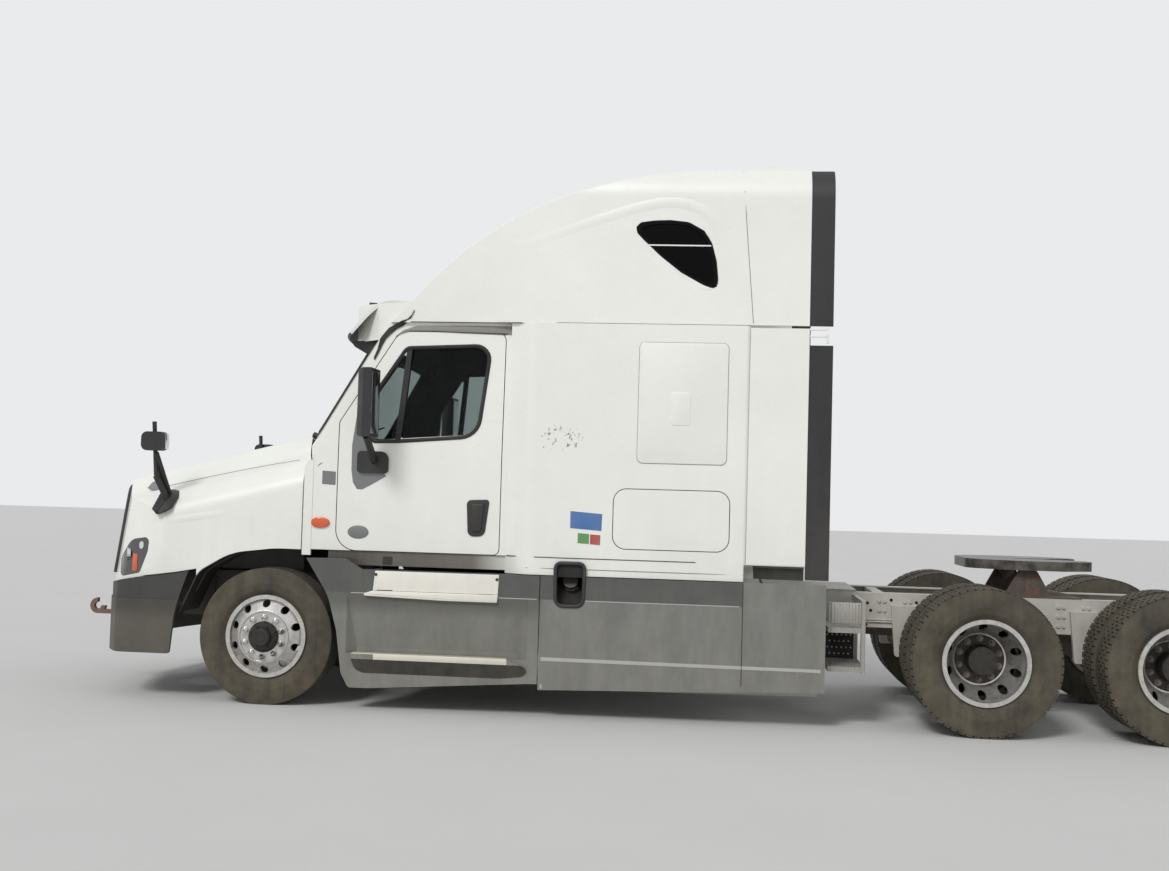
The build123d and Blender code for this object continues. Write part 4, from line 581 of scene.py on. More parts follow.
def sidewall(radius, tread_radius):
    """One side of a tyre's section from the bead to the tread's edge, as (distance out, radius)."""
    rise = radius - 0.3
    return [
        (BEAD_HALF, BEAD_RADIUS), (BEAD_HALF + 0.001, 0.302), (0.108, 0.312), (0.122, 0.328), (0.1255, 0.332),
        (0.1295, 0.338), (0.1345, 0.36), (TYRE_HALF - 0.0012, 0.374), (TYRE_HALF, 0.378), (TYRE_HALF, 0.39),
        (TYRE_HALF - 0.0012, 0.394), (0.1345, 0.3 + 0.62 * rise), (0.1315, 0.3 + 0.72 * rise),
        (0.1305, 0.3 + 0.74 * rise), (0.1265, radius - 0.03), (TREAD_HALF + 0.005, radius - 0.014),
        (TREAD_HALF, tread_radius),
    ]


def tyre(shape, centre, outward, radius, blocks):
    """A tyre in a closed section; with blocks, the tread is rows of them standing on a lower band."""
    floor_radius = radius - GROOVE_DEPTH
    outer = sidewall(radius, floor_radius if blocks else radius)
    tread = []
    if not blocks:
        for (_, rib_end), (next_rib, _) in zip(RIBS[:-1], RIBS[1:]):
            tread += [(-rib_end, radius), (-rib_end - 0.002, floor_radius), (0.002 - next_rib, floor_radius),
                      (-next_rib, radius)]
    turned(shape, outer + tread + [(-out, r) for out, r in reversed(outer)], centre, outward, 96)
    if not blocks:
        return
    pitch = 2 * pi / BLOCKS_ROUND
    half = pitch * radius * BLOCK_SHARE / 2
    for low_out, high_out, shift in BLOCK_ROWS:
        cuboid = bmesh.new()
        block(cuboid, Vector((-half, low_out, floor_radius - 0.006)), Vector((half, high_out, radius)))
        mesh = bpy.data.meshes.new("block")
        cuboid.to_mesh(mesh)
        cuboid.free()
        for k in range(BLOCKS_ROUND):
            placed = Matrix.Translation(centre) @ Matrix.Rotation((k + shift) * pitch, 4, "Y")
            mesh.transform(placed)
            shape.from_mesh(mesh)
            mesh.transform(placed.inverted())
        bpy.data.meshes.remove(mesh)


for side, name in ((-1, "left"), (1, "right")):
    rings = [(f"front_tyre_{name}", f"front_wheel_{name}", (FRONT_TYRE_Y,), False)]
    rings += [(f"drive_tyres_{k}_{name}", f"drive_wheels_{k}_{name}", TWIN_TYRE_Y, True) for k in (1, 2)]
    for tyre_name, wheel, middles, blocks in rings:
        hub = axis_of(tyre_name)
        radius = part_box(tyre_name)[1].z - hub.z
        rubber = bmesh.new()
        for out in middles:
            tyre(rubber, hub + Vector((0, side * out, 0)), Vector((0, side, 0)), radius, blocks)
        made = piece(f"{tyre_name}_tread", rubber, tyre_rubber, wheel, crease=28)
        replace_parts(made, tyre_name)


# Cab and sleeper panels. White painted skins over riveted structure, split where the real panels meet, with
# stone chips down to grey primer on the sleeper's left side, and the sill below the doors darkened partly by
# road film and partly by painted shade.
CHIPS_MIDDLE = (2120, -1200, 1990)
CHIPS_SPREAD = (2.9, 2.0, 5.2)
SILL_TOP_Z = 1.134
SILL_START_X = 306
SILL_PALE_X = (600, 1800)
SILL_FADE_X = (1500, 1850)
ARC_STEPS = 6


def chipped_white(tree):
    """White enamel with a scattered group of small chips, and a sill below the doors darkened by grime and by
    painted shade, paler towards the rear.
    """
    clouds = remap(tree, noise(tree, 0.9, 4.0), 0.3, 0.7)
    white = mix(tree, clouds, shade(248, 249, 242), shade(241, 242, 234))
    bits = noise(tree, 34.0, 8.0, 0.75)
    group = node(tree, "VectorMath", {0: spot(tree), 1: at(*CHIPS_MIDDLE)}, operation="SUBTRACT").outputs[0]
    group = node(tree, "Mapping", {"Vector": group, "Scale": CHIPS_SPREAD}).outputs[0]
    far = node(tree, "VectorMath", {0: group}, operation="LENGTH").outputs["Value"]
    near = remap(tree, far, 0.35, 1.1, 1.0, 0.0)
    level_up = remap(tree, near, 0.0, 1.0, 0.86, 0.575)
    over = node(tree, "Math", {0: bits, 1: level_up}, operation="GREATER_THAN").outputs[0]
    chipped = mix(tree, over, white, shade(126, 118, 110))
    place = node(tree, "SeparateXYZ", {"Vector": spot(tree)}).outputs
    below = remap(tree, place["Z"], SILL_TOP_Z - 0.006, SILL_TOP_Z, 1.0, 0.0)
    ramps = ((SILL_START_X, SILL_START_X + 4, 0.0), (*SILL_FADE_X, 1.0), (*SILL_PALE_X, 0.0))
    started, ended, paled = [remap(tree, place["X"], at(low, 0, 0).x, at(high, 0, 0).x, first, 1.0 - first)
                             for low, high, first in ramps]
    # Below the doors the sill darkens, partly as road film and partly as painted shade, paling towards the
    # rear.
    grime_and_shade_under_door = maths(tree, "MULTIPLY", below, maths(tree, "MULTIPLY", started, ended))
    return mix(tree, grime_and_shade_under_door, chipped, mix(tree, paled, shade(62, 57, 50), shade(116, 108, 96)))


def waviness(tree):
    """Slight waves in sheet panels and the fine peel of sprayed paint."""
    wide, fine = noise(tree, 2.2, 2.0), noise(tree, 420.0, 2.0)
    return node(tree, "Math", {0: wide, 1: fine}, operation="ADD").outputs[0]


cab_white = surface("cab_paint", chipped_white, 0.3, dirt=0.3, reach=2.0, least=0.02, mottle=0.03, cloud=2.2,
                    grain=300.0, relief=waviness, depth=0.0006, dust=shade(176, 170, 158),
                    plain={"Coat Weight": 0.5, "Coat Roughness": 0.08})
dress(cab_white, "cab_shell", "sleeper_shell", "roof_fairing", "sun_visor", "side_extenders", "hood",
      "door_left", "door_right", "luggage_door_left", "luggage_door_right")


def onto(node_names, place, way):
    """Where a line from place, going a given way, first meets one of some CAD nodes."""
    hits = []
    for name in node_names:
        met, where, _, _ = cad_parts[name].ray_cast(place, way)
        if met:
            hits.append(where)
    return min(hits, key=lambda where: (where - place).length) if hits else place + way


def rounded(points):
    """Places along a closed outline of (u, v, corner radius) points, its corners turned by arcs."""
    path = []
    for k, here in enumerate(points):
        corner = Vector(here[:2])
        back = (Vector(points[k - 1][:2]) - corner).normalized()
        on = (Vector(points[(k + 1) % len(points)][:2]) - corner).normalized()
        half = back.angle(on) / 2
        reach = here[2] / (sin(half) / cos(half)) if len(here) > 2 else 0
        if not reach:
            path.append(corner)
            continue
        middle = corner + (back + on).normalized() * here[2] / sin(half)
        first, last = corner + back * reach - middle, corner + on * reach - middle
        path += [middle + first.slerp(last, step / ARC_STEPS) * here[2] for step in range(ARC_STEPS + 1)]
    return path


def evenly(path, gap):
    """More places along a closed path, no further apart than gap."""
    filled = []
    for here, after in zip(path, path[1:] + path[:1]):
        count = max(1, int((after - here).length / gap))
        filled += [here.lerp(after, k / count) for k in range(count)]
    return filled


def strip(name, runs, radius, material, body, closed=True):
    """Round strips along one or more runs of places, such as a window's rubber."""
    curve = bpy.data.curves.new(name, "CURVE")
    curve.dimensions = "3D"
    curve.bevel_depth = radius
    curve.bevel_resolution = 2
    for places in runs:
        spline = curve.splines.new("POLY")
        spline.points.add(len(places) - 1)
        for point, where in zip(spline.points, places):
            point.co = (*where, 1)
        spline.use_cyclic_u = closed
    curve.use_fill_caps = not closed
    holder = bpy.data.objects.new(name, curve)
    mesh = bpy.data.meshes.new_from_object(holder)
    bpy.data.objects.remove(holder)
    shape = bmesh.new()
    shape.from_mesh(mesh)
    bpy.data.meshes.remove(mesh)
    bmesh.ops.remove_doubles(shape, verts=shape.verts, dist=1e-5)
    return piece(name, shape, material, body)


# Windows. Bonded glass in black rubber, tinted green in front and dark in the roof. The cab's lining behind
# it is moulded black trim and cloth, on every face of the shells that looks into the cab.
WINDSHIELD_LOOP = ((-930, 1990, 70), (930, 1990, 70), (880, 2640, 70), (-880, 2640, 70))
WINDSHIELD_RUBBER = 0.017
CAB_CENTRE = {"cab_shell": (1150, 0, 1950), "sleeper_shell": (2600, 0, 2100), "roof_fairing": (2500, 0, 2900),
              "door_left": (1100, 0, 2000), "door_right": (1100, 0, 2000)}
ROOF_SEAM_Z = 2.85


def glass_tint(tree):
    """Pale green below the roof's seam and almost black above it."""
    up = node(tree, "SeparateXYZ", {"Vector": spot(tree)}).outputs["Z"]
    above_seam = remap(tree, up, ROOF_SEAM_Z - 0.01, ROOF_SEAM_Z + 0.01)
    return mix(tree, above_seam, shade(176, 186, 184), shade(14, 15, 17))


tinted_glass = surface("tinted_glass", glass_tint, 0.03, dirt=0.03, reach=3.2, least=0.3, mottle=0.0,
                       grain=20.0, depth=0.000001, plain={"Transmission Weight": 1.0, "IOR": 1.2})
dress(tinted_glass, "fixed_windows", "door_glass_left", "door_glass_right")
cab_lining = surface("cab_lining", shade(12, 12, 13), 0.8, dirt=0.04, reach=2.6, least=0.2, grain=500.0,
                     depth=0.0005)
for name, centre in CAB_CENTRE.items():
    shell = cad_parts[name].data
    shell.materials.append(cab_lining)
    for face in shell.polygons:
        inward = at(*centre) - face.center
        if face.normal.dot(inward) > 0.12 * inward.length:
            face.material_index = 1
black_rubber = surface("window_rubber", shade(26, 26, 27), 0.7, dirt=0.3, reach=2.5, least=0.12, depth=0.0006)


def ahead_of(node_names, y, z):
    """Where a line from in front of the truck first meets some nodes, at y and z in metres."""
    return onto(node_names, Vector((at(-600, 0, 0).x, y, z)), Vector((1, 0, 0)))


edge = evenly([point / 1000 for point in rounded(WINDSHIELD_LOOP)], 0.08)
run = [ahead_of(["cab_shell", "fixed_windows"], y, z) for y, z in edge]
strip("windshield_rubber", [run], WINDSHIELD_RUBBER, black_rubber, "chassis")


# Door windows. A thick rubber is pressed round each opening, and an upright bar with a rubber face stands in
# front of the drop glass. Over the opening both lie as far out as the door's skin further back.
DOOR_WINDOW_LOOP = ((716, 1932, 40), (744, 2292, 130), (960, 2624, 60), (1588, 2652, 100), (1510, 1986, 150),
                    (930, 1938, 20))
DOOR_WINDOW_RUBBER = 0.016
DOOR_WINDOW_BAR = ((902, 1950), (944, 1953), (1005, 2638), (964, 2636))
DOOR_WALL_X = 1640


def skin(node_names, x, z, side, out=0.0, beside=None):
    """Where a side panel lies at x and z in millimetres, or a little out from it. With beside, the
    panel is felt at that x instead, for a place over an opening."""
    start = Vector((at(beside or x, 0, 0).x, side * 2, z / 1000))
    return at(x, onto(node_names, start, Vector((0, -side, 0))).y * 1000 + side * out * 1000, z)


def thicken(shape, faces, way):
    """Draws a sheet of faces out along a way into a solid, and returns the faces of its far side."""
    drawn = bmesh.ops.extrude_face_region(shape, geom=faces)["geom"]
    corners = [part for part in drawn if isinstance(part, bmesh.types.BMVert)]
    bmesh.ops.translate(shape, verts=corners, vec=way)
    return [part for part in drawn if isinstance(part, bmesh.types.BMFace)]


def slab(shape, places, way):
    """A flat piece with its corners at places, as thick as a way. Returns its far face in a list."""
    return thicken(shape, [shape.faces.new([shape.verts.new(place) for place in places])], way)


def plate(shape, node_names, outline, side, thick, soft=0.0, sink=0.003, beside=None):
    """A flat piece of an outline of (x, z, corner radius) in millimetres, laid on a side panel."""
    back = [skin(node_names, *point, side, -sink, beside) for point in rounded(outline)]
    front = slab(shape, back, Vector((0, side * (thick + sink), 0)))
    if soft:
        rim = [edge for face in front for edge in face.edges]
        bmesh.ops.bevel(shape, geom=rim, offset=soft, segments=3, profile=0.5, affect="EDGES", material=-1)


for side, name in ((-1, "left"), (1, "right")):
    door = f"door_{name}"
    run = [skin([door], *place, side, -0.004, DOOR_WALL_X) for place in evenly(rounded(DOOR_WINDOW_LOOP), 60)]
    strip(f"door_window_rubber_{name}", [run], DOOR_WINDOW_RUBBER, black_rubber, door)
    pillar = bmesh.new()
    plate(pillar, [door], DOOR_WINDOW_BAR, side, 0.004, 0.002, beside=DOOR_WALL_X)
    piece(f"door_window_bar_{name}", pillar, black_rubber, door)


# Roof windows. Each one's black edge is printed on the glass, a thin rubber runs round it and a bright line
# crosses it; a white surround carries the roof's skin to it over a wider opening.
ROOF_WINDOW_HOLE = ((2560, 3560, 60), (3088, 3634, 170), (3254, 3050, 70), (3080, 3080, 70),
                    (2745, 3322, 300))
ROOF_WINDOW_EDGE = ((2626, 3515), (2655, 3548), (2755, 3562), (2866, 3566), (2998, 3552), (3108, 3491),
                    (3164, 3403), (3200, 3272), (3215, 3140), (3209, 3094), (3178, 3078), (3108, 3104),
                    (2953, 3190), (2808, 3304), (2684, 3420), (2631, 3476))
ROOF_WINDOW_LINE = ((2706, 3390), (3160, 3388), (3162, 3379), (2714, 3381))
ROOF_WALL_X = 2450
EDGE_PLACES = 72
BAND_THICK = 0.003


def spread(path, count):
    """A closed path's places moved to a count of even steps along it."""
    lengths = [(after - here).length for here, after in zip(path, path[1:] + path[:1])]
    total = sum(lengths)
    places = []
    for k in range(count):
        left = total * k / count
        for here, after, length in zip(path, path[1:] + path[:1], lengths):
            if left <= length:
                places.append(here.lerp(after, left / length))
                break
            left -= length
    return places


def ring_band(shape, outlines, side, out):
    """A thin band on the roof's side between two outlines of (x, z, corner radius)."""
    loops = []
    for outline in outlines:
        path = spread([Vector(point[:2]) for point in rounded(outline)], EDGE_PLACES)
        ring = [shape.verts.new(skin(["roof_fairing"], *place, side, out - BAND_THICK, ROOF_WALL_X))
                for place in path]
        loops.append([shape.edges.new((ring[k - 1], ring[k])) for k in range(len(ring))])
    band = bmesh.ops.bridge_loops(shape, edges=loops[0] + loops[1])["faces"]
    thicken(shape, band, Vector((0, side * BAND_THICK, 0)))


window_print = surface("window_print", shade(9, 10, 12), 0.05, dirt=0.0, mottle=0.0, depth=0.000001,
                       plain={"IOR": 1.2})
window_middle = sum((Vector(point) for point in ROOF_WINDOW_EDGE), Vector((0, 0))) / len(ROOF_WINDOW_EDGE)
print_inside = [Vector(point).lerp(window_middle, 0.12) for point in ROOF_WINDOW_EDGE]
surround = bmesh.new()
printed = bmesh.new()
roof_lines = bmesh.new()
edge_runs = []
for side in (-1, 1):
    ring_band(surround, (ROOF_WINDOW_HOLE, ROOF_WINDOW_EDGE), side, 0.0015)
    ring_band(printed, (ROOF_WINDOW_EDGE, print_inside), side, 0.002)
    plate(roof_lines, ["roof_fairing"], ROOF_WINDOW_LINE, side, 0.0045, sink=0.01, beside=ROOF_WALL_X)
    path = spread([Vector(point) for point in ROOF_WINDOW_EDGE], EDGE_PLACES)
    edge_runs.append([skin(["roof_fairing"], *place, side, -0.001, ROOF_WALL_X) for place in path])
piece("roof_window_surround", surround, cab_white, "chassis")
piece("roof_window_print", printed, window_print, "chassis")
piece("roof_window_lines", roof_lines, cab_white, "chassis")
strip("roof_window_rubber", edge_runs, 0.004, black_rubber, "chassis")


# Wipers and cowl. Two black arms park along the foot of the windshield, over a black plastic cowl, with a
# dark moulding at each end where the hood's edge meets the cab.
WIPER_PIVOTS = (-560, 160)
WIPER_RUN = ((0, 1.975), (330, 2.03), (640, 2.12))
COWL_END = ((232, 1782, 10), (500, 1812, 6), (500, 1788, 6), (352, 1762, 30), (300, 1702, 20), (268, 1664, 8),
            (236, 1690, 10))
black_plastic = surface("black_plastic", shade(28, 28, 30), 0.5, dirt=0.22, reach=2.2, least=0.12,
                        grain=300.0, depth=0.0004)
wipers = bmesh.new()
off = Vector((-0.03, 0, 0.012))
for pivot_y in WIPER_PIVOTS:
    run = [ahead_of(["cab_shell", "fixed_windows"], (pivot_y + shift) / 1000, z) for shift, z in WIPER_RUN]
    bar(wipers, run[0] + off * 0.4, run[1] + off * 1.3, 0.012, 0.008, steps=10)
    bar(wipers, run[0] + off * 0.2, run[0] + off * 1.6, 0.026, 0.022, steps=16)
    for near, far in zip(run[:-1], run[1:]):
        bar(wipers, near + off * 0.5, far + off * 0.5, 0.007, steps=8)
piece("wipers", wipers, black_plastic, "chassis")
cowl = bmesh.new()
for side in (-1, 1):
    plate(cowl, ["cab_shell"], COWL_END, side, 0.006, 0.003)
piece("cowl_ends", cowl, black_plastic, "chassis")


# Small parts on the cab's sides. An amber turn signal, a blank grey plate and a black square are screwed to
# the painted panels, and the sleeper's skin is pressed out in a raised panel with a smaller one inside it.
# The door mirrors and the extenders' edges are black plastic, and the marker lamps smoked amber.
TURN_SIGNAL = (368, 1331, 71, 39)
COWL_PLATE = ((370, 1710, 4), (470, 1704, 4), (470, 1607, 4), (370, 1612, 4))
SILL_SQUARE = ((838, 1098, 4), (908, 1098, 4), (908, 1040, 4), (838, 1040, 4))
RAISED_PANEL = ((2674, 2682, 40), (3304, 2682, 40), (3304, 1823, 40), (2674, 1823, 40))
INNER_PANEL = ((2907, 2331, 28), (3042, 2331, 28), (3042, 2094, 28), (2907, 2094, 28))


def oval(x, z, half_x, half_z, count=28):
    """An oval outline about a middle, in millimetres."""
    turns = [2 * pi * k / count for k in range(count)]
    return [(x + half_x * cos(turn), z + half_z * sin(turn)) for turn in turns]


grey_badge_and_shadow = surface("grey_badge_and_shadow", shade(128, 130, 132), 0.35, metallic=0.5, dirt=0.2, reach=2.2, least=0.1)
amber_lens = surface("amber_lens", shade(222, 92, 26), 0.18, dirt=0.25, reach=2.0, least=0.1, depth=0.0001,
                     plain={"Coat Weight": 0.6})
smoked_lens = surface("smoked_lens", shade(74, 34, 24), 0.2, dirt=0.2, reach=3.2, least=0.3, depth=0.0001,
                      plain={"Coat Weight": 0.6})
dress(smoked_lens, "marker_lamps")
dress(black_plastic, "door_mirror_left", "door_mirror_right", "extender_edges")
cab_plates = bmesh.new()
squares = bmesh.new()
signals = bmesh.new()
panels = bmesh.new()
for side in (-1, 1):
    plate(cab_plates, ["cab_shell"], COWL_PLATE, side, 0.002)
    plate(signals, ["cab_shell"], oval(*TURN_SIGNAL), side, 0.018, 0.008)
    plate(squares, ["cab_shell"], SILL_SQUARE, side, 0.004)
    plate(panels, ["sleeper_shell"], RAISED_PANEL, side, 0.007, 0.005)
    plate(panels, ["sleeper_shell"], INNER_PANEL, side, 0.011, 0.004)
piece("turn_signals", signals, amber_lens, "chassis")
piece("raised_panels", panels, cab_white, "chassis")
piece("cab_plates", cab_plates, grey_badge_and_shadow, "chassis")
piece("sill_squares", squares, black_plastic, "chassis")


# Drip mouldings and panel gaps. A moulding over each door leads the rain away; its grey is painted shade, as
# it faces down, and a dark line of painted shadow runs under it. The panels of the cab, roof and sleeper meet
# in narrow dark gaps, with a softer painted shadow round the raised panel and along the sleeper's skirt.
DRIP_MOULDING = ((1021, 2787), (1333, 2794), (1550, 2795), (1766, 2794), (1896, 2796), (1822, 2769),
                 (1730, 2733), (1692, 2741), (1373, 2746), (1127, 2752), (975, 2751), (909, 2729),
                 (872, 2708), (930, 2756))
DRIP_SHADOW = ((1202, 2750), (1373, 2744), (1520, 2740), (1693, 2736), (1760, 2749), (1822, 2767))
DRIP_WALL_X = 1700
ROOF_SEAM_LINE = ((985, 2815), (1266, 2815), (1596, 2815), (1800, 2814), (2100, 2814), (2400, 2814),
                  (2700, 2814), (3000, 2814), (3300, 2814), (3452, 2814))
SKIRT_LINE = ((1745, 1135), (1966, 1135), (2300, 1134), (2700, 1134), (3100, 1134), (3445, 1134))
SKIRT_SHADOWS = (((1900, 1057), (2108, 1057)), ((2345, 1057), (2716, 1056), (3080, 1056), (3440, 1056)))
# This grey is painted shade on the drip mouldings and painted shadow along the soft lines, and the colour of
# the seams on the roof and hood.
shade_and_seam_grey = surface("painted_shade_and_seam_grey", shade(140, 137, 131), 0.5, dirt=0.3, reach=2.9, least=0.4)
gap_and_shadow_dark = surface("panel_gaps_and_drip_shadow", shade(64, 61, 55), 0.8, dirt=0.2, reach=2.9, least=0.4)
mouldings = bmesh.new()
gap_and_shadow_runs = []
shadows = []
for side in (-1, 1):
    plate(mouldings, ["cab_shell"], DRIP_MOULDING, side, 0.01, 0.003, beside=DRIP_WALL_X)
    # The dark line under each moulding is a painted shadow.
    gap_and_shadow_runs.append([skin(["cab_shell"], x, z, side, 0.004, DRIP_WALL_X) for x, z in DRIP_SHADOW])
    gap_and_shadow_runs.append([skin(["roof_fairing"], x, z, side) for x, z in ROOF_SEAM_LINE])
    gap_and_shadow_runs.append([skin(["sleeper_shell"], x, z, side) for x, z in SKIRT_LINE])
    for line in SKIRT_SHADOWS:
        shadows.append([skin(["sleeper_shell"], x, z, side) for x, z in line])
    outline = evenly(rounded(RAISED_PANEL), 90)
    shadows.append([skin(["sleeper_shell"], *place, side, 0.001) for place in outline + outline[:1]])
piece("drip_mouldings", mouldings, shade_and_seam_grey, "chassis")
strip("panel_gaps_and_drip_shadow", gap_and_shadow_runs, 0.0035, gap_and_shadow_dark, "chassis", closed=False)
strip("panel_shadows", shadows, 0.003, shade_and_seam_grey, "chassis", closed=False)


# Sun visor. A painted moulding, black below, that a black bracket holds near each end. A thin painted cheek
# closes each end against the cab, and a rubber seal follows the joint down beside the door.
SEAL_UPPER = ((1010, 2902), (994, 2867), (962, 2834), (915, 2819), (873, 2804), (817, 2768), (780, 2722),
              (757, 2690), (742, 2614), (716, 2548))
SEAL_LOWER = ((1012, 2896), (988, 2846), (948, 2808), (915, 2783), (874, 2762), (833, 2724), (800, 2690),
              (778, 2650), (752, 2590), (722, 2530))
CHEEK_PLAN = ((498, 775), (550, 876), (600, 930), (650, 966), (700, 1000), (757, 1035), (811, 1060),
              (868, 1074), (920, 1096), (978, 1110))
CHEEK_BOTTOM_Z = (2684, 2685, 2686, 2688, 2690, 2692, 2768, 2806, 2820, 2856)
CHEEK_TOP_Z = 2960
VISOR_BRACKET = ((507, 2690), (500, 2670), (518, 2646), (626, 2586), (690, 2559), (757, 2616), (757, 2692))
VISOR_BRACKET_Y = 925


def ribbon(shape, pairs, way):
    """A band through pairs of places, as thick as a way."""
    rows = [[shape.verts.new(place) for place in pair] for pair in pairs]
    faces = [shape.faces.new((a, b, d, c)) for (a, b), (c, d) in zip(rows[:-1], rows[1:])]
    thicken(shape, faces, way)


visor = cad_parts["sun_visor"].data
visor.materials.append(black_plastic)
for face in visor.polygons:
    face.material_index = 1 if face.normal.z < -0.25 else 0
seal = bmesh.new()
cheeks = bmesh.new()
brackets = bmesh.new()
for side, name in ((-1, "left"), (1, "right")):
    nodes_near = ["cab_shell", "roof_fairing", "sun_visor", f"door_{name}"]
    pairs = [[skin(nodes_near, x, z, side, 0.001) for x, z in pair] for pair in zip(SEAL_UPPER, SEAL_LOWER)]
    ribbon(seal, pairs, Vector((0, side * 0.009, 0)))
    pairs = [(at(x, side * y, low), at(x, side * y, CHEEK_TOP_Z))
             for (x, y), low in zip(CHEEK_PLAN, CHEEK_BOTTOM_Z)]
    ribbon(cheeks, pairs, Vector((0.004, side * -0.006, 0)))
    slab(brackets, [at(x, side * VISOR_BRACKET_Y, z) for x, z in VISOR_BRACKET], Vector((0, side * -0.02, 0)))
piece("visor_seal", seal, black_rubber, "chassis")
piece("visor_cheeks", cheeks, cab_white, "chassis")
piece("visor_brackets", brackets, black_plastic, "chassis")


# Roof's sides. A soft crease is moulded into the painted roof over its windows, a narrow gap runs down its
# back edge, clips hold the extenders' rubber, and the left top edge is torn.
SWOOSH = ((1853, 3394), (2050, 3463), (2250, 3533), (2450, 3602), (2652, 3664), (2780, 3691), (2891, 3697),
          (3000, 3682), (3085, 3648), (3150, 3596), (3200, 3526), (3235, 3448), (3262, 3376), (3306, 3285))
SEAM = ((3381, 3935), (3392, 3780), (3404, 3620), (3420, 3420), (3437, 3225), (3455, 3020), (3471, 2830))
CLIPS = (((3868, 1176, 2786), (4002, 1188, 2804)), ((3984, 1176, 2696), (4002, 1188, 2790)),
         ((3868, 1176, 2738), (3990, 1188, 2752)))
TORN_EDGE = ((3370, 3960), (3426, 3982), (3497, 3995), (3572, 4013), (3641, 3990), (3734, 3977), (3800, 3966),
             (3800, 3925), (3370, 3925))
TORN_EDGE_Y = -1000


def ridge(shape, node_names, path, side, width, proud):
    """A low, soft crest along a path of (x, z) places in millimetres on a side panel, fading at its ends."""
    rows = []
    last = len(path) - 1
    for k, (x, z) in enumerate(path):
        along = Vector(path[min(k + 1, last)]) - Vector(path[max(k - 1, 0)])
        across = Vector((-along.y, along.x)).normalized() * width / 2
        top = proud * min(1, 3 * k / last, 3 * (last - k) / last)
        section = [(-1, -0.001), (-0.6, top * 0.5), (-0.25, top * 0.9), (0, top), (0.25, top * 0.9),
                   (0.6, top * 0.5), (1, -0.001), (1, -0.004), (-1, -0.004)]
        rows.append([shape.verts.new(skin(node_names, x + across.x * share, z + across.y * share, side, out))
                     for share, out in section])
    for near, far in zip(rows[:-1], rows[1:]):
        for k in range(len(near)):
            shape.faces.new((near[k - 1], near[k], far[k], far[k - 1]))
    shape.faces.new(rows[0])
    shape.faces.new(rows[-1])


def side_block(shape, side, low, high, soft=0.0):
    """A block on one side of the truck, its y values given as distances from the middle."""
    near, far = sorted((side * low[1], side * high[1]))
    block(shape, at(low[0], near, low[2]), at(high[0], far, high[2]), soft)


roof_crests = bmesh.new()
clips = bmesh.new()
for side in (-1, 1):
    ridge(roof_crests, ["roof_fairing", "fixed_windows"], SWOOSH, side, 90, 0.005)
    for low, high in CLIPS:
        side_block(clips, side, low, high, 0.002)
piece("roof_crease", roof_crests, cab_white, "chassis", crease=60)
piece("rubber_clips", clips, cab_white, "chassis")
seams = [[skin(["roof_fairing", "side_extenders"], x, z, side, -0.002) for x, z in SEAM] for side in (-1, 1)]
strip("roof_seams", seams, 0.0035, shade_and_seam_grey, "chassis", closed=False)
torn = bmesh.new()
slab(torn, [at(x, TORN_EDGE_Y, z) for x, z in TORN_EDGE], Vector((0, 0.01, -0.003)))
piece("torn_roof_edge", torn, cab_white, "chassis")


# Door fittings. A black plastic handle plate with a raised grip, a grey oval badge and a grey patch round
# the mirror's arms lie on each door, and the mirror's head holds a silvered glass.
DOOR_HANDLE = ((1447, 1525, 34), (1615, 1533, 22), (1584, 1266, 52), (1462, 1262, 44))
HANDLE_GRIP = ((1478, 1500, 22), (1580, 1504, 16), (1560, 1300, 30), (1490, 1297, 28))
BADGE = (652, 1270, 78, 48)
MIRROR_PATCH = ((612, 2140), (584, 1900), (586, 1720), (600, 1630), (632, 1582), (672, 1580), (780, 1640),
                (845, 1680), (700, 1900), (640, 2000))
MIRROR_GLASS = ((818, 1318, 1975), (824, 1508, 2415))
mirrors = surface("mirror_glass", shade(206, 210, 214), 0.04, metallic=1.0, dirt=0.12, reach=3.0, least=0.4,
                  mottle=0.0, depth=0.00001)
for side, name in ((-1, "left"), (1, "right")):
    door = f"door_{name}"
    handle = bmesh.new()
    plate(handle, [door], DOOR_HANDLE, side, 0.008, 0.004)
    plate(handle, [door], HANDLE_GRIP, side, 0.022, 0.009)
    piece(f"door_handle_{name}", handle, black_plastic, door)
    badge = bmesh.new()
    plate(badge, [door], oval(*BADGE), side, 0.005, 0.002)
    piece(f"door_badge_{name}", badge, grey_badge_and_shadow, door)
    patch = bmesh.new()
    plate(patch, [door, "cab_shell"], MIRROR_PATCH, side, 0.0015)
    piece(f"mirror_patch_{name}", patch, grey_badge_and_shadow, door)
    mirror = bmesh.new()
    side_block(mirror, side, *MIRROR_GLASS, 0.004)
    piece(f"mirror_glass_{name}", mirror, mirrors, door)


# Stickers. Three worn stickers of printed film are glued to the left side of the sleeper, a large blue one
# over a green and a red one. They are left blank.
STICKERS = ((((2211, 1469), (2438, 1454), (2435, 1334), (2212, 1348)), shade(58, 110, 172)),
            (((2268, 1315), (2349, 1310), (2348, 1239), (2267, 1243)), shade(92, 150, 84)),
            (((2356, 1308), (2429, 1304), (2427, 1233), (2355, 1238)), shade(178, 58, 50)))
for k, (corners, colour) in enumerate(STICKERS):
    sticker = bmesh.new()
    plate(sticker, ["luggage_door_left", "sleeper_shell"], corners, -1, 0.0012)
    print_ink = surface(f"sticker_{k}", colour, 0.4, dirt=0.3, reach=2.0, least=0.2,
                        dust=shade(206, 204, 198))
    piece(f"sticker_{k}", sticker, print_ink, "chassis")


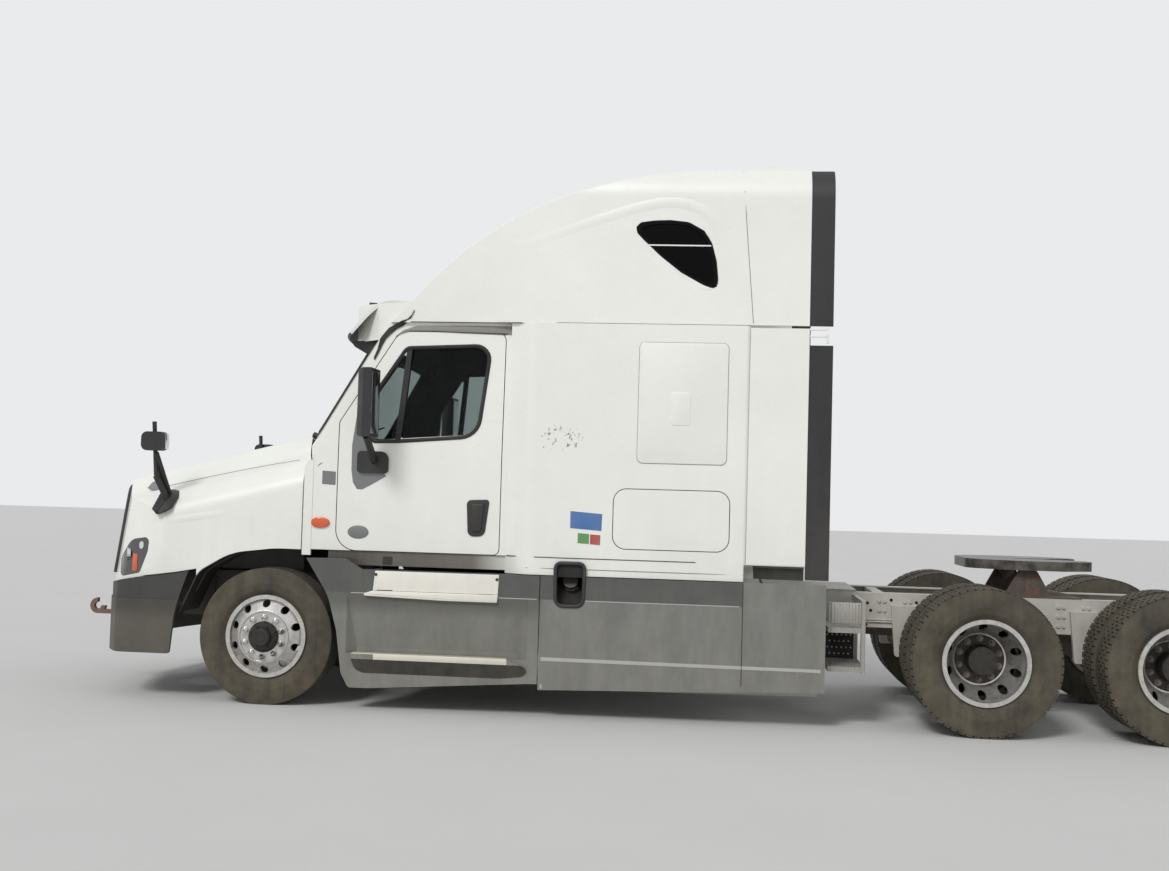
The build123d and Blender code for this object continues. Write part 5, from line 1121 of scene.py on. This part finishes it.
# Hood's edges. Black plastic liners and a rubber lip finish each painted arch, a narrow gap and a soft
# crease run along each side, and a painted panel screwed to the cab closes the side behind the hood.
ARCH_LIP = ((240, 1128), (120, 1130), (30, 1128), (-60, 1119), (-150, 1108), (-240, 1094), (-310, 1072),
            (-400, 1026), (-480, 978), (-533, 938), (-572, 860), (-605, 790))
HOOD_SEAM = ((-949, 1566), (-800, 1602), (-640, 1640), (-495, 1672), (-300, 1712), (-100, 1750), (122, 1786))
LOW_CREASE = ((-895, 1275), (-770, 1309), (-660, 1329), (-565, 1345), (-450, 1362), (-348, 1377))
COWL_SIDE = ((234, 1092), (300, 1092), (300, 1790), (262, 1782), (234, 1740))
COWL_SIDE_Y = 1126
dress(black_plastic, "fender_liners")
lips = [[skin(["hood"], x, z, side, -0.002) for x, z in ARCH_LIP] for side in (-1, 1)]
strip("arch_lips", lips, 0.009, black_rubber, "hood", closed=False)
folds = [[skin(["hood"], x, z, side, -0.001) for x, z in HOOD_SEAM] for side in (-1, 1)]
strip("hood_seams", folds, 0.0035, shade_and_seam_grey, "hood", closed=False)
crests = bmesh.new()
cowl_sides = bmesh.new()
for side in (-1, 1):
    ridge(crests, ["hood"], LOW_CREASE, side, 60, 0.004)
    slab(cowl_sides, [at(x, side * COWL_SIDE_Y, z) for x, z in COWL_SIDE], Vector((0, side * -0.02, 0)))
piece("hood_crease", crests, cab_white, "hood", crease=60)
piece("cowl_sides", cowl_sides, cab_white, "chassis")


# Grille. A black moulding screwed into the hood: a rounded edge runs up one side, over the top and down the
# other, and a flat surround fills the space between it and the grille's bars.
GRILLE_EDGE = ((-622, 880), (-622, 1000), (-621, 1120), (-620, 1240), (-619, 1360), (-616, 1440),
               (-606, 1490), (-580, 1525), (-530, 1548), (-420, 1560), (-210, 1566), (0, 1568))
GRILLE_EDGE += tuple((-y, z) for y, z in reversed(GRILLE_EDGE[:-1]))
GRILLE_HALF = 497
GRILLE_TOP_Z = 1502


def nose(x_from, y, z, names):
    """Where a line from in front of the truck first meets some nodes."""
    return onto(names, at(x_from, y, z), Vector((1, 0, 0)))


dress(black_plastic, "grille")
front = [nose(-1900, y, z, ["hood", "grille"]) for y, z in GRILLE_EDGE]
strip("grille_edge", [[place + Vector((-0.001, 0, 0)) for place in front]], 0.023, black_plastic, "hood",
      closed=False)
back = [nose(-1900, max(-GRILLE_HALF, min(GRILLE_HALF, y)), min(z, GRILLE_TOP_Z), ["hood", "grille"])
        for y, z in GRILLE_EDGE]
pairs = [[place - Vector((0.004, 0, 0)) for place in pair] for pair in zip(front, back)]
surround = bmesh.new()
ribbon(surround, pairs, Vector((0.008, 0, 0)))
piece("grille_surround", surround, black_plastic, "hood")


# Hood mirrors. A black plastic head on an arm that grows out of a base screwed to the fender, with a
# silvered glass, and a grey patch on each side of the hood ahead of it is the mirror's painted shadow.
MIRROR_BASE = ((-904, 1536, 10), (-834, 1540, 30), (-772, 1530, 30), (-744, 1485, 40), (-766, 1402, 30),
               (-819, 1371, 30), (-872, 1350, 16), (-893, 1376, 20))
MIRROR_FOOT = (-850, 1500)
MIRROR_HEAD = (-888, 1160, 1812)
HOOD_MIRROR_GLASS = ((-803, 1152, 1836), (-797, 1209, 1950))
MIRROR_SHADOW_PATCH = ((-1140, 1545), (-1126, 1590), (-1071, 1612), (-1014, 1600), (-990, 1536), (-1058, 1522))
dress(black_plastic, "hood_mirrors")
bases = bmesh.new()
patches = bmesh.new()
glasses = bmesh.new()
for side in (-1, 1):
    plate(bases, ["hood"], MIRROR_BASE, side, 0.06, 0.02)
    # The grey patch ahead of the mirror is its painted shadow on the hood.
    plate(patches, ["hood"], MIRROR_SHADOW_PATCH, side, 0.003)
    foot = skin(["hood"], *MIRROR_FOOT, side, 0.02)
    head = at(MIRROR_HEAD[0], side * MIRROR_HEAD[1], MIRROR_HEAD[2])
    along = head - foot
    slim = along.to_track_quat("Z", "Y").to_matrix().to_4x4() @ Matrix.Diagonal((1, 0.4, 1, 1))
    bmesh.ops.create_cone(bases, cap_ends=True, segments=28, radius1=0.042, radius2=0.022, depth=along.length,
                          matrix=Matrix.Translation((foot + head) / 2) @ slim)
    side_block(glasses, side, *HOOD_MIRROR_GLASS, 0.003)
piece("mirror_bases", bases, black_plastic, "hood")
piece("mirror_shadow_patches", patches, grey_badge_and_shadow, "hood")
piece("hood_mirror_glass", glasses, mirrors, "hood")


# Headlamps. A dark moulded housing behind a clear cover, with a square and three round bright reflectors
# and an amber turn signal in it.
LAMP_AMBER = ((-1100, 1050, 10), (-1052, 1052, 10), (-1046, 925, 14), (-1096, 922, 14))
LAMP_BRIGHT = ((-1040, 1146, 18), (-998, 1146, 18), (-998, 1092, 18), (-1040, 1092, 18))
LAMP_BOWLS = ((870, 1040, 0.058), (980, 1045, 0.05), (905, 930, 0.03))
lamp_dark = surface("lamp_housing", shade(30, 32, 35), 0.12, dirt=0.3, reach=1.6, least=0.1, depth=0.0001,
                    plain={"Coat Weight": 0.8, "Coat Roughness": 0.04})
dress(lamp_dark, "headlamps")
reflector = surface("lamp_reflector", shade(226, 228, 230), 0.12, metallic=1.0, dirt=0.15, reach=2.0,
                    least=0.1)
bright = bmesh.new()
amber = bmesh.new()
for side in (-1, 1):
    plate(bright, ["headlamps"], LAMP_BRIGHT, side, 0.002)
    plate(amber, ["headlamps"], LAMP_AMBER, side, 0.003, 0.001)
    for y, z, radius in LAMP_BOWLS:
        place = nose(-1700, side * y, z, ["headlamps"])
        facing = Vector((-1, side * 0.55, 0)).normalized()
        bar(bright, place - facing * 0.02, place + facing * 0.004, radius, steps=32)
piece("lamp_reflectors", bright, reflector, "hood")
piece("lamp_signals", amber, amber_lens, "hood")


# Bumper and fairings. Grey moulded panels, darker in their upper band, streaked with dried splash and rubbed
# pale along their folds, with painted shade under the fold ahead of the tanks. Downward faces low on their
# outside are painted dark as shade, and each fairing is made of two parts with a seam.
FOLD_Z = 837
FOLDS = ((640, 2000), (2335, 3430))
BUMPER_FOLD_Z = 0.731
FOLD_GAP = 90
REAR_SEAM_X = 3440
REAR_SEAM_HEIGHTS = range(210, 1001, 79)
BUMPER_REAR_X = 4000
PAINTED_SHADE_TO_X = (2000, 2040)
TUB_Z = (0.2, 0.375)
TUB_Y = 1.2
PALE_BANDS = (((2030, 432), (3985, 424), (3985, 402), (2030, 406)),
              ((2030, 243), (3985, 232), (3985, 206), (2030, 210)))


def splashed(low, high, split, rear_x, stretch):
    """Grey moulding, darker above a height as far back as rear_x, with streaks of dried splash and, ahead of
    the tanks, a painted shade under the fold that fades out downwards.
    """
    def dimmed(share):
        return [part * share for part in low[:3]] + [1]

    def draw(tree):
        place = node(tree, "SeparateXYZ", {"Vector": spot(tree)}).outputs
        band = remap(tree, place["Z"], split - 0.004, split + 0.004)
        rear = at(rear_x, 0, 0).x
        band = maths(tree, "MULTIPLY", band, remap(tree, place["X"], rear - 0.002, rear + 0.002, 1.0, 0.0))
        streaks = remap(tree, noise(tree, 2.2, 7.0, 0.65, stretch), 0.4, 0.7)
        pale = mix(tree, streaks, low, dimmed(0.7))
        # Just under the fold, ahead of the tanks, the colour is dimmed by half as painted shade, fading out
        # lower down.
        from_x, to_x = (at(x, 0, 0).x for x in PAINTED_SHADE_TO_X)
        painted_shade = maths(tree, "MULTIPLY", remap(tree, place["Z"], split - 0.16, split - 0.06),
                       remap(tree, place["X"], from_x, to_x, 1.0, 0.0))
        return mix(tree, band, mix(tree, painted_shade, pale, dimmed(0.5)), high)
    return draw


fairing_splash = splashed(shade(128, 129, 125), shade(78, 80, 80), FOLD_Z / 1000, REAR_SEAM_X, (3, 3, 0.9))
fairing_grey = surface("fairing_plastic", fairing_splash, 0.6, dirt=0.4, reach=1.3, least=0.15, cloud=4.0,
                       dust=shade(142, 136, 120), grain=260.0, depth=0.0005)
bumper_splash = splashed(shade(88, 85, 78), shade(52, 54, 54), BUMPER_FOLD_Z, BUMPER_REAR_X, (2, 2, 2))
bumper_grey = surface("bumper_plastic", bumper_splash, 0.55, dirt=0.35, reach=1.2, least=0.1, cloud=5.0,
                      dust=shade(112, 104, 90), grain=260.0, depth=0.0005)
dress(fairing_grey, "side_fairings")
dress(bumper_grey, "front_bumper")
tub_shade = surface("step_underside_painted_shade", shade(44, 41, 36), 0.7, dirt=0.2, reach=1.3, least=0.2, cloud=5.0)
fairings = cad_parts["side_fairings"].data
fairings.materials.append(tub_shade)
# Faces low on the outside that look down get a dark grey: painted shade under the step's bulge.
for face in fairings.polygons:
    in_tub = TUB_Z[0] < face.center.z < TUB_Z[1] and abs(face.center.y) > TUB_Y
    if in_tub and face.normal.z < -0.12:
        face.material_index = 1
fold_grey = surface("worn_fold", shade(184, 184, 181), 0.6, dirt=0.3, reach=1.3, least=0.1)
fold_runs = []
seam_runs = []
pale_bands = bmesh.new()
for side in (-1, 1):
    seam_runs.append([skin(["side_fairings"], REAR_SEAM_X, z, side) for z in REAR_SEAM_HEIGHTS])
    for low_x, high_x in FOLDS:
        fold_runs.append([skin(["side_fairings"], x, FOLD_Z, side, -0.002)
                          for x in range(low_x, high_x + 1, FOLD_GAP)])
    for band in PALE_BANDS:
        plate(pale_bands, ["side_fairings"], band, side, 0.0015)
strip("fairing_folds", fold_runs, 0.004, fold_grey, "chassis", closed=False)
strip("fairing_seams", seam_runs, 0.003, black_plastic, "chassis", closed=False)
piece("fairing_bands", pale_bands, fold_grey, "chassis")


# Cab steps. A ribbed aluminium tread lies in the step's recess with a nosing along its edge, and a painted
# plate with a thick lip, two slots and two bolts covers the band above it. The slots are near-black plates of
# painted shade. The bolts are black, and they are made with the filler frames.
STEP_TREAD = ((664, 1170, 404), (1780, 1247, 409))
TREAD_RIBS = 74
STEP_NOSING = ((828, 1249, 369), (1792, 1254, 411))
STEP_PLATE = ((815, 1000, 6), (1716, 1000, 6), (1711, 859, 4), (803, 860, 4))
PLATE_LIP = ((742, 837, 2), (802, 858, 4), (1713, 857, 4), (1706, 803, 4), (1319, 803, 4), (743, 820, 2))
STEP_SLOTS = (((833, 864), (946, 865), (946, 859), (833, 858)),
              ((1571, 858), (1673, 859), (1673, 853), (1571, 852)))
STEP_BOLTS = ((823, 974), (1703, 967))
STEP_WALL_X = 1200
tread_alloy = surface("tread_alloy", shade(232, 227, 212), 0.4, metallic=0.3, dirt=0.35, reach=1.2, least=0.1,
                      dust=shade(170, 160, 142))
worn_white = surface("worn_white", shade(246, 243, 232), 0.4, dirt=0.25, reach=1.4, least=0.1, cloud=8.0)
# A near-black that stands for painted shade in the slots, the filler recesses and behind the deck's step.
recess_shade_black = surface("filler_recess_painted_shade", shade(10, 10, 10), 0.8, dirt=0.12, reach=1.3, least=0.1)
treads = bmesh.new()
plates = bmesh.new()
recesses = bmesh.new()
frames = bmesh.new()
low, high = STEP_TREAD
for side in (-1, 1):
    side_block(treads, side, low, high, 0.001)
    for k in range(TREAD_RIBS):
        x = low[0] + (high[0] - low[0]) * (k + 0.5) / TREAD_RIBS
        side_block(treads, side, (x - 3, low[1] + 6, 408), (x + 3, high[1] - 6, 412))
    side_block(treads, side, *STEP_NOSING, 0.0015)
    plate(plates, ["side_fairings"], STEP_PLATE, side, 0.01, 0.003, beside=STEP_WALL_X)
    plate(plates, ["side_fairings"], PLATE_LIP, side, 0.024, 0.004, beside=STEP_WALL_X)
    # Each slot is a near-black plate, painted shade for the slot's dark inside.
    for slot in STEP_SLOTS:
        plate(recesses, ["side_fairings"], slot, side, 0.0115, beside=STEP_WALL_X)
    for x, z in STEP_BOLTS:
        place = skin(["side_fairings"], x, z, side, 0.01)
        bar(frames, place, place + Vector((0, side * 0.004, 0)), 0.011, steps=14)
piece("step_treads", treads, tread_alloy, "chassis")
piece("step_plates", plates, worn_white, "chassis")


# Fuel fillers. A black frame snaps into the fairing over each aluminium tank, round a recess whose near-black
# back and shroud, which follows the tank, are painted shade, and a black screwed cap stands in it.
FILLER_FRAME = ((2116, 1100, 40), (2327, 1100, 40), (2320, 797, 55), (2123, 797, 55))
FILLER_FRAME_Y = 1.222
FILLER_BACK = ((2128, 1200, 1000), (2318, 1207, 1096))
FILLER_CAP = ((2220, 1112, 956), (2220, 1140, 971))
TANK_MIDDLE = (860, 715)
SHROUD = ((2110, 301), (2335, 301), (2335, 304), (2110, 304))
tank_alloy = surface("tank_alloy", shade(196, 196, 193), 0.3, metallic=0.85, dirt=0.7, reach=1.3, least=0.3)
dress(tank_alloy, "fuel_tanks")
caps = bmesh.new()
tank_y, tank_z = TANK_MIDDLE
for side in (-1, 1):
    loop = evenly([point / 1000 for point in rounded(FILLER_FRAME)], 0.05)
    ring = [Vector((at(u * 1000, 0, 0).x, side * FILLER_FRAME_Y, v)) for u, v in loop]
    for here, after in zip(ring, ring[1:] + ring[:1]):
        bar(frames, here, after, 0.013, steps=10)
    # The recess's back and shroud are near-black as painted shade, where the tank would show bright.
    side_block(recesses, side, *FILLER_BACK)
    bar(caps, *(at(x, side * y, z) for x, y, z in FILLER_CAP), 0.053, steps=32)
    shroud = [recesses.verts.new(at(x, side * tank_y, tank_z + radius)) for x, radius in SHROUD]
    bmesh.ops.spin(recesses, geom=[recesses.faces.new(shroud)], cent=at(2200, side * tank_y, tank_z),
                   axis=(1, 0, 0), angle=side * -1.55, steps=24)
piece("filler_frames", frames, black_plastic, "chassis")
piece("filler_caps", caps, black_plastic, "chassis")
piece("filler_recesses", recesses, recess_shade_black, "chassis")


# Deck. Aluminium tread plate behind the sleeper, bolted to the frame. A plain panel is bolted on below its
# edge, and the open step under it has a near-black back of painted shade with rows of grip studs.
DECK_PANEL = ((4041, -1088, 736), (4268, -1081, 884))
STEP_BACK = ((4041, -600, 437), (4270, -593, 670))
GRIP_STUDS = (6, 4)
FIRST_STUD = (4062, 472)
STUD_GAP = (34, 46)
PANEL_BOLTS_X = (4053, 4120, 4187, 4254)
PANEL_BOLTS_Z = (750, 870)


def raised_bars(tree):
    """Short bars in two directions, as rolled into tread plate."""
    first, second = [
        node(tree, "TexWave", {"Vector": spot(tree, (1, way, 0)), "Scale": 14.0, "Distortion": 1.5})
        for way in (1, -1)]
    return maths(tree, "MAXIMUM", first.outputs["Fac"], second.outputs["Fac"])


deck_alloy = surface("deck_tread", shade(176, 174, 168), 0.4, metallic=0.6, dirt=0.6, reach=1.4, least=0.35,
                     relief=raised_bars, depth=0.003)
dress(deck_alloy, "deck_plate")
step_backs = bmesh.new()
deck_panels = bmesh.new()
# The step's back is near-black as painted shade.
block(step_backs, at(*STEP_BACK[0]), at(*STEP_BACK[1]))
block(deck_panels, at(*DECK_PANEL[0]), at(*DECK_PANEL[1]), 0.003)
for row in range(GRIP_STUDS[1]):
    for column in range(GRIP_STUDS[0]):
        x = FIRST_STUD[0] + STUD_GAP[0] * (column + row % 2 / 2)
        place = at(x, STEP_BACK[0][1] - 1, FIRST_STUD[1] + STUD_GAP[1] * row)
        bar(deck_panels, place, place + Vector((0, 0.003, 0)), 0.0065, steps=12)
for z in PANEL_BOLTS_Z:
    for x in PANEL_BOLTS_X:
        place = at(x, DECK_PANEL[0][1] + 1, z)
        bar(deck_panels, place, place - Vector((0, 0.005, 0)), 0.006, 0.005, steps=12)
piece("deck_step_backs", step_backs, recess_shade_black, "chassis")
piece("deck_panels", deck_panels, deck_alloy, "chassis")


# Coupling and rear lamps. The cast fifth wheel is worn bright under black grease. Rubber flaps hang behind
# the wheels, and red lamps are screwed to the last crossmember.
def greased(tree):
    """Bright worn steel under black grease that lies thick in swirls."""
    thick = remap(tree, noise(tree, 7.0, 6.0, 0.6, (1, 3, 1)), 0.4, 0.6)
    return mix(tree, thick, shade(96, 92, 88), shade(26, 24, 23))


greasy_iron = surface("greasy_iron", greased, 0.3, metallic=0.5, dirt=0.4, reach=1.6, least=0.3, rust=0.2)
dress(greasy_iron, "fifth_wheel_plate")
dress(forged, "fifth_wheel_base")
dress(black_rubber, "air_springs", "mud_flaps")
red_lens = surface("red_lens", shade(186, 30, 26), 0.2, dirt=0.4, reach=1.2, least=0.1,
                   plain={"Coat Weight": 0.6})
dress(red_lens, "tail_lamps")


# Brake chambers and air springs. A pressed steel chamber with a clamp band and a push rod is bolted ahead of
# each drive axle, and a rubber bellows with three folds stands between its arm and the frame.
DRIVE_AXLES_X = (5106, 6401)
CHAMBER_Y = 420
CHAMBER_Z = 560
CHAMBER_BODY = (-300, -180, CHAMBER_Z, 0.085, 32)
CLAMP_BAND = (-245, -235, CHAMBER_Z, 0.095, 32)
PUSH_ROD = (-185, -90, CHAMBER_Z - 20, 0.016, 12)
AIR_SPRING_BEHIND = 330
AIR_SPRING_Y = 385
BELLOWS_FOLDS = ((0.40, 0.47, 0.146), (0.48, 0.55, 0.148), (0.56, 0.63, 0.143))
FOLD_DEPTH = 0.014
chambers = bmesh.new()
bellows = bmesh.new()
for axle_x in DRIVE_AXLES_X:
    for side in (-1, 1):
        y = side * CHAMBER_Y
        for start, end, end_z, radius, steps in (CHAMBER_BODY, CLAMP_BAND, PUSH_ROD):
            bar(chambers, at(axle_x + start, y, CHAMBER_Z), at(axle_x + end, y, end_z), radius, steps=steps)
        for low, high, radius in BELLOWS_FOLDS:
            foot, waist, head = [at(axle_x + AIR_SPRING_BEHIND, side * AIR_SPRING_Y, 0) + Vector((0, 0, up))
                                 for up in (low, (low + high) / 2, high)]
            bar(bellows, foot, waist, radius - FOLD_DEPTH, radius, steps=40)
            bar(bellows, waist, head, radius, radius - FOLD_DEPTH, steps=40)
piece("brake_chambers", chambers, chassis_black, "chassis")
piece("air_spring_bellows", bellows, black_rubber, "chassis")


# Seats. Each stands on a pedestal and has a cloth cushion, a leaning back and a head rest, stuffed with foam
# and sewn down along seams.
SEAT_MIDDLE = 560
PAD_VOXEL = 0.008
SWELL_FRAMES = 20
CUSHION = ((1190, -240, 1566), (1640, 240, 1650))
BACK = ((-0.035, -0.236, 0.02), (0.035, 0.236, 0.56))
HEAD_REST = ((-0.03, -0.13, 0.575), (0.03, 0.13, 0.65))
BACK_FOOT = (1690, 1640)
BACK_LEAN = -14
PEDESTAL = ((1240, -180, 1196), (1560, 180, 1545))
SEAT_PAN = ((1200, -225, 1540), (1660, 225, 1572))
HINGE_PLACE = (1700, 205)
HINGE_Z = (1570, 1680)


def stuffed(name, shape, voxel, most, seams):
    """Swells a closed shape like a stuffed pad, sewn down along seams: planes given as (axis, place)."""
    bmesh.ops.recalc_face_normals(shape, faces=shape.faces)
    mesh = bpy.data.meshes.new(name)
    shape.to_mesh(mesh)
    shape.free()
    pad = bpy.data.objects.new(name, mesh)
    bpy.context.scene.collection.objects.link(pad)
    even = pad.modifiers.new("even", "REMESH")
    even.mode = "VOXEL"
    even.voxel_size = voxel
    flat = bpy.data.meshes.new_from_object(pad.evaluated_get(bpy.context.evaluated_depsgraph_get()))
    pad.modifiers.clear()
    pad.data = flat
    held = [vert.index for vert in flat.vertices
            if any(abs(vert.co[axis] - place) < voxel * 0.55 for axis, place in seams)]
    pad.vertex_groups.new(name="sewn").add(held, 1.0, "REPLACE")
    cloth = pad.modifiers.new("swell", "CLOTH")
    cloth.settings.use_pressure = True
    cloth.settings.uniform_pressure_force = 4
    cloth.settings.effector_weights.gravity = 0
    cloth.settings.vertex_group_mass = "sewn"
    cloth.point_cache.frame_end = SWELL_FRAMES
    for step in range(SWELL_FRAMES):
        bpy.context.scene.frame_set(step + 1)
    swelled = bpy.data.meshes.new_from_object(pad.evaluated_get(bpy.context.evaluated_depsgraph_get()))
    pad.modifiers.clear()
    for vert, after in zip(flat.vertices, swelled.vertices):
        move = after.co - vert.co
        vert.co += move * min(1.0, most / max(move.length, 1e-6))
    bpy.data.meshes.remove(swelled)
    bpy.context.scene.frame_set(1)
    made = bmesh.new()
    made.from_mesh(flat)
    bpy.data.objects.remove(pad)
    bmesh.ops.smooth_vert(made, verts=made.verts, factor=0.5, use_axis_x=True, use_axis_y=True,
                          use_axis_z=True)
    return made


def pad_box(low, high, soft):
    """A box with well rounded edges."""
    shape = bmesh.new()
    block(shape, Vector(low), Vector(high), soft, 3)
    return shape


def copied(shape, shift):
    """The same shape again, moved across."""
    twin = shape.copy()
    bmesh.ops.translate(twin, verts=twin.verts, vec=shift)
    return twin


seat_cloth = surface("seat_cloth", shade(50, 51, 54), 0.9, dirt=0.0, grain=900.0, depth=0.0006)
dash_grey = surface("dash_moulding", shade(38, 38, 40), 0.7, dirt=0.05, reach=2.4, least=0.3, grain=500.0,
                    depth=0.0005)
dress(seat_cloth, "seats", "bunk")
across = Vector((0, 2 * SEAT_MIDDLE / 1000, 0))
lean = (Matrix.Translation(at(BACK_FOOT[0], -SEAT_MIDDLE, BACK_FOOT[1]))
        @ Matrix.Rotation(radians(-BACK_LEAN), 4, "Y"))
cushion = pad_box(*(at(x, y - SEAT_MIDDLE, z) for x, y, z in CUSHION), 0.03)
pads = {"cushion": stuffed("cushion", cushion, PAD_VOXEL, 0.02, [(1, -0.70), (1, -0.42)]),
        "back": stuffed("back", pad_box(*BACK, 0.025), PAD_VOXEL, 0.02, [(1, -0.14), (1, 0.14), (2, 0.30)]),
        "head_rest": stuffed("head_rest", pad_box(*HEAD_REST, 0.02), PAD_VOXEL, 0.012, [])}
for part in ("back", "head_rest"):
    bmesh.ops.transform(pads[part], matrix=lean, verts=pads[part].verts)
for part, shape in pads.items():
    for name, shift in (("left", Vector()), ("right", across)):
        pad = piece(f"seat_{part}_{name}", copied(shape, shift), seat_cloth, "chassis",
                    crease=60)
    shape.free()
pedestals = bmesh.new()
hinge_x, hinge_y = HINGE_PLACE
for middle in (-SEAT_MIDDLE, SEAT_MIDDLE):
    for corners, soft in ((PEDESTAL, 0.02), (SEAT_PAN, 0.01)):
        block(pedestals, *(at(x, middle + y, z) for x, y, z in corners), soft)
    for y in (middle - hinge_y, middle + hinge_y):
        bar(pedestals, *(at(hinge_x, y, z) for z in HINGE_Z), 0.02)
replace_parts(piece("seat_pedestals", pedestals, dash_grey, "chassis"), "seats")


# Bunk. A quilted mattress stuffed with foam lies across the back of the sleeper, sewn down along its length
# in five seams.
MATTRESS = ((2575, -1122, 1722), (3378, 1122, 1884))
MATTRESS_VOXEL = 0.018
MATTRESS_SEAMS_Y = (-0.75, -0.375, 0.0, 0.375, 0.75)
mattress = stuffed("mattress", pad_box(*(at(*corner) for corner in MATTRESS), 0.04), MATTRESS_VOXEL, 0.014,
                   [(1, y) for y in MATTRESS_SEAMS_Y])
made = piece("bunk_mattress", mattress, seat_cloth, "chassis", crease=60)
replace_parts(made, "bunk")


# Dash. A moulded grey dash with the steering wheel, round instruments behind the wheel and a black tray on
# top, all seen through the windshield.
DIALS = ((-640, 0.055), (-520, 0.055), (-580, 0.03))
DASH_TRAY = ((560, -150, 1880), (700, 150, 1893))
dress(dash_grey, "dashboard", "steering_wheel")
dials = bmesh.new()
for y, radius in DIALS:
    place = onto(["dashboard"], at(1100, y, 1800), Vector((-1, 0, 0)))
    bar(dials, place + Vector((-0.01, 0, 0)), place + Vector((0.008, 0, 0)), radius, steps=32)
block(dials, *(at(*corner) for corner in DASH_TRAY), 0.006)
piece("dash_dials", dials, black_plastic, "chassis")
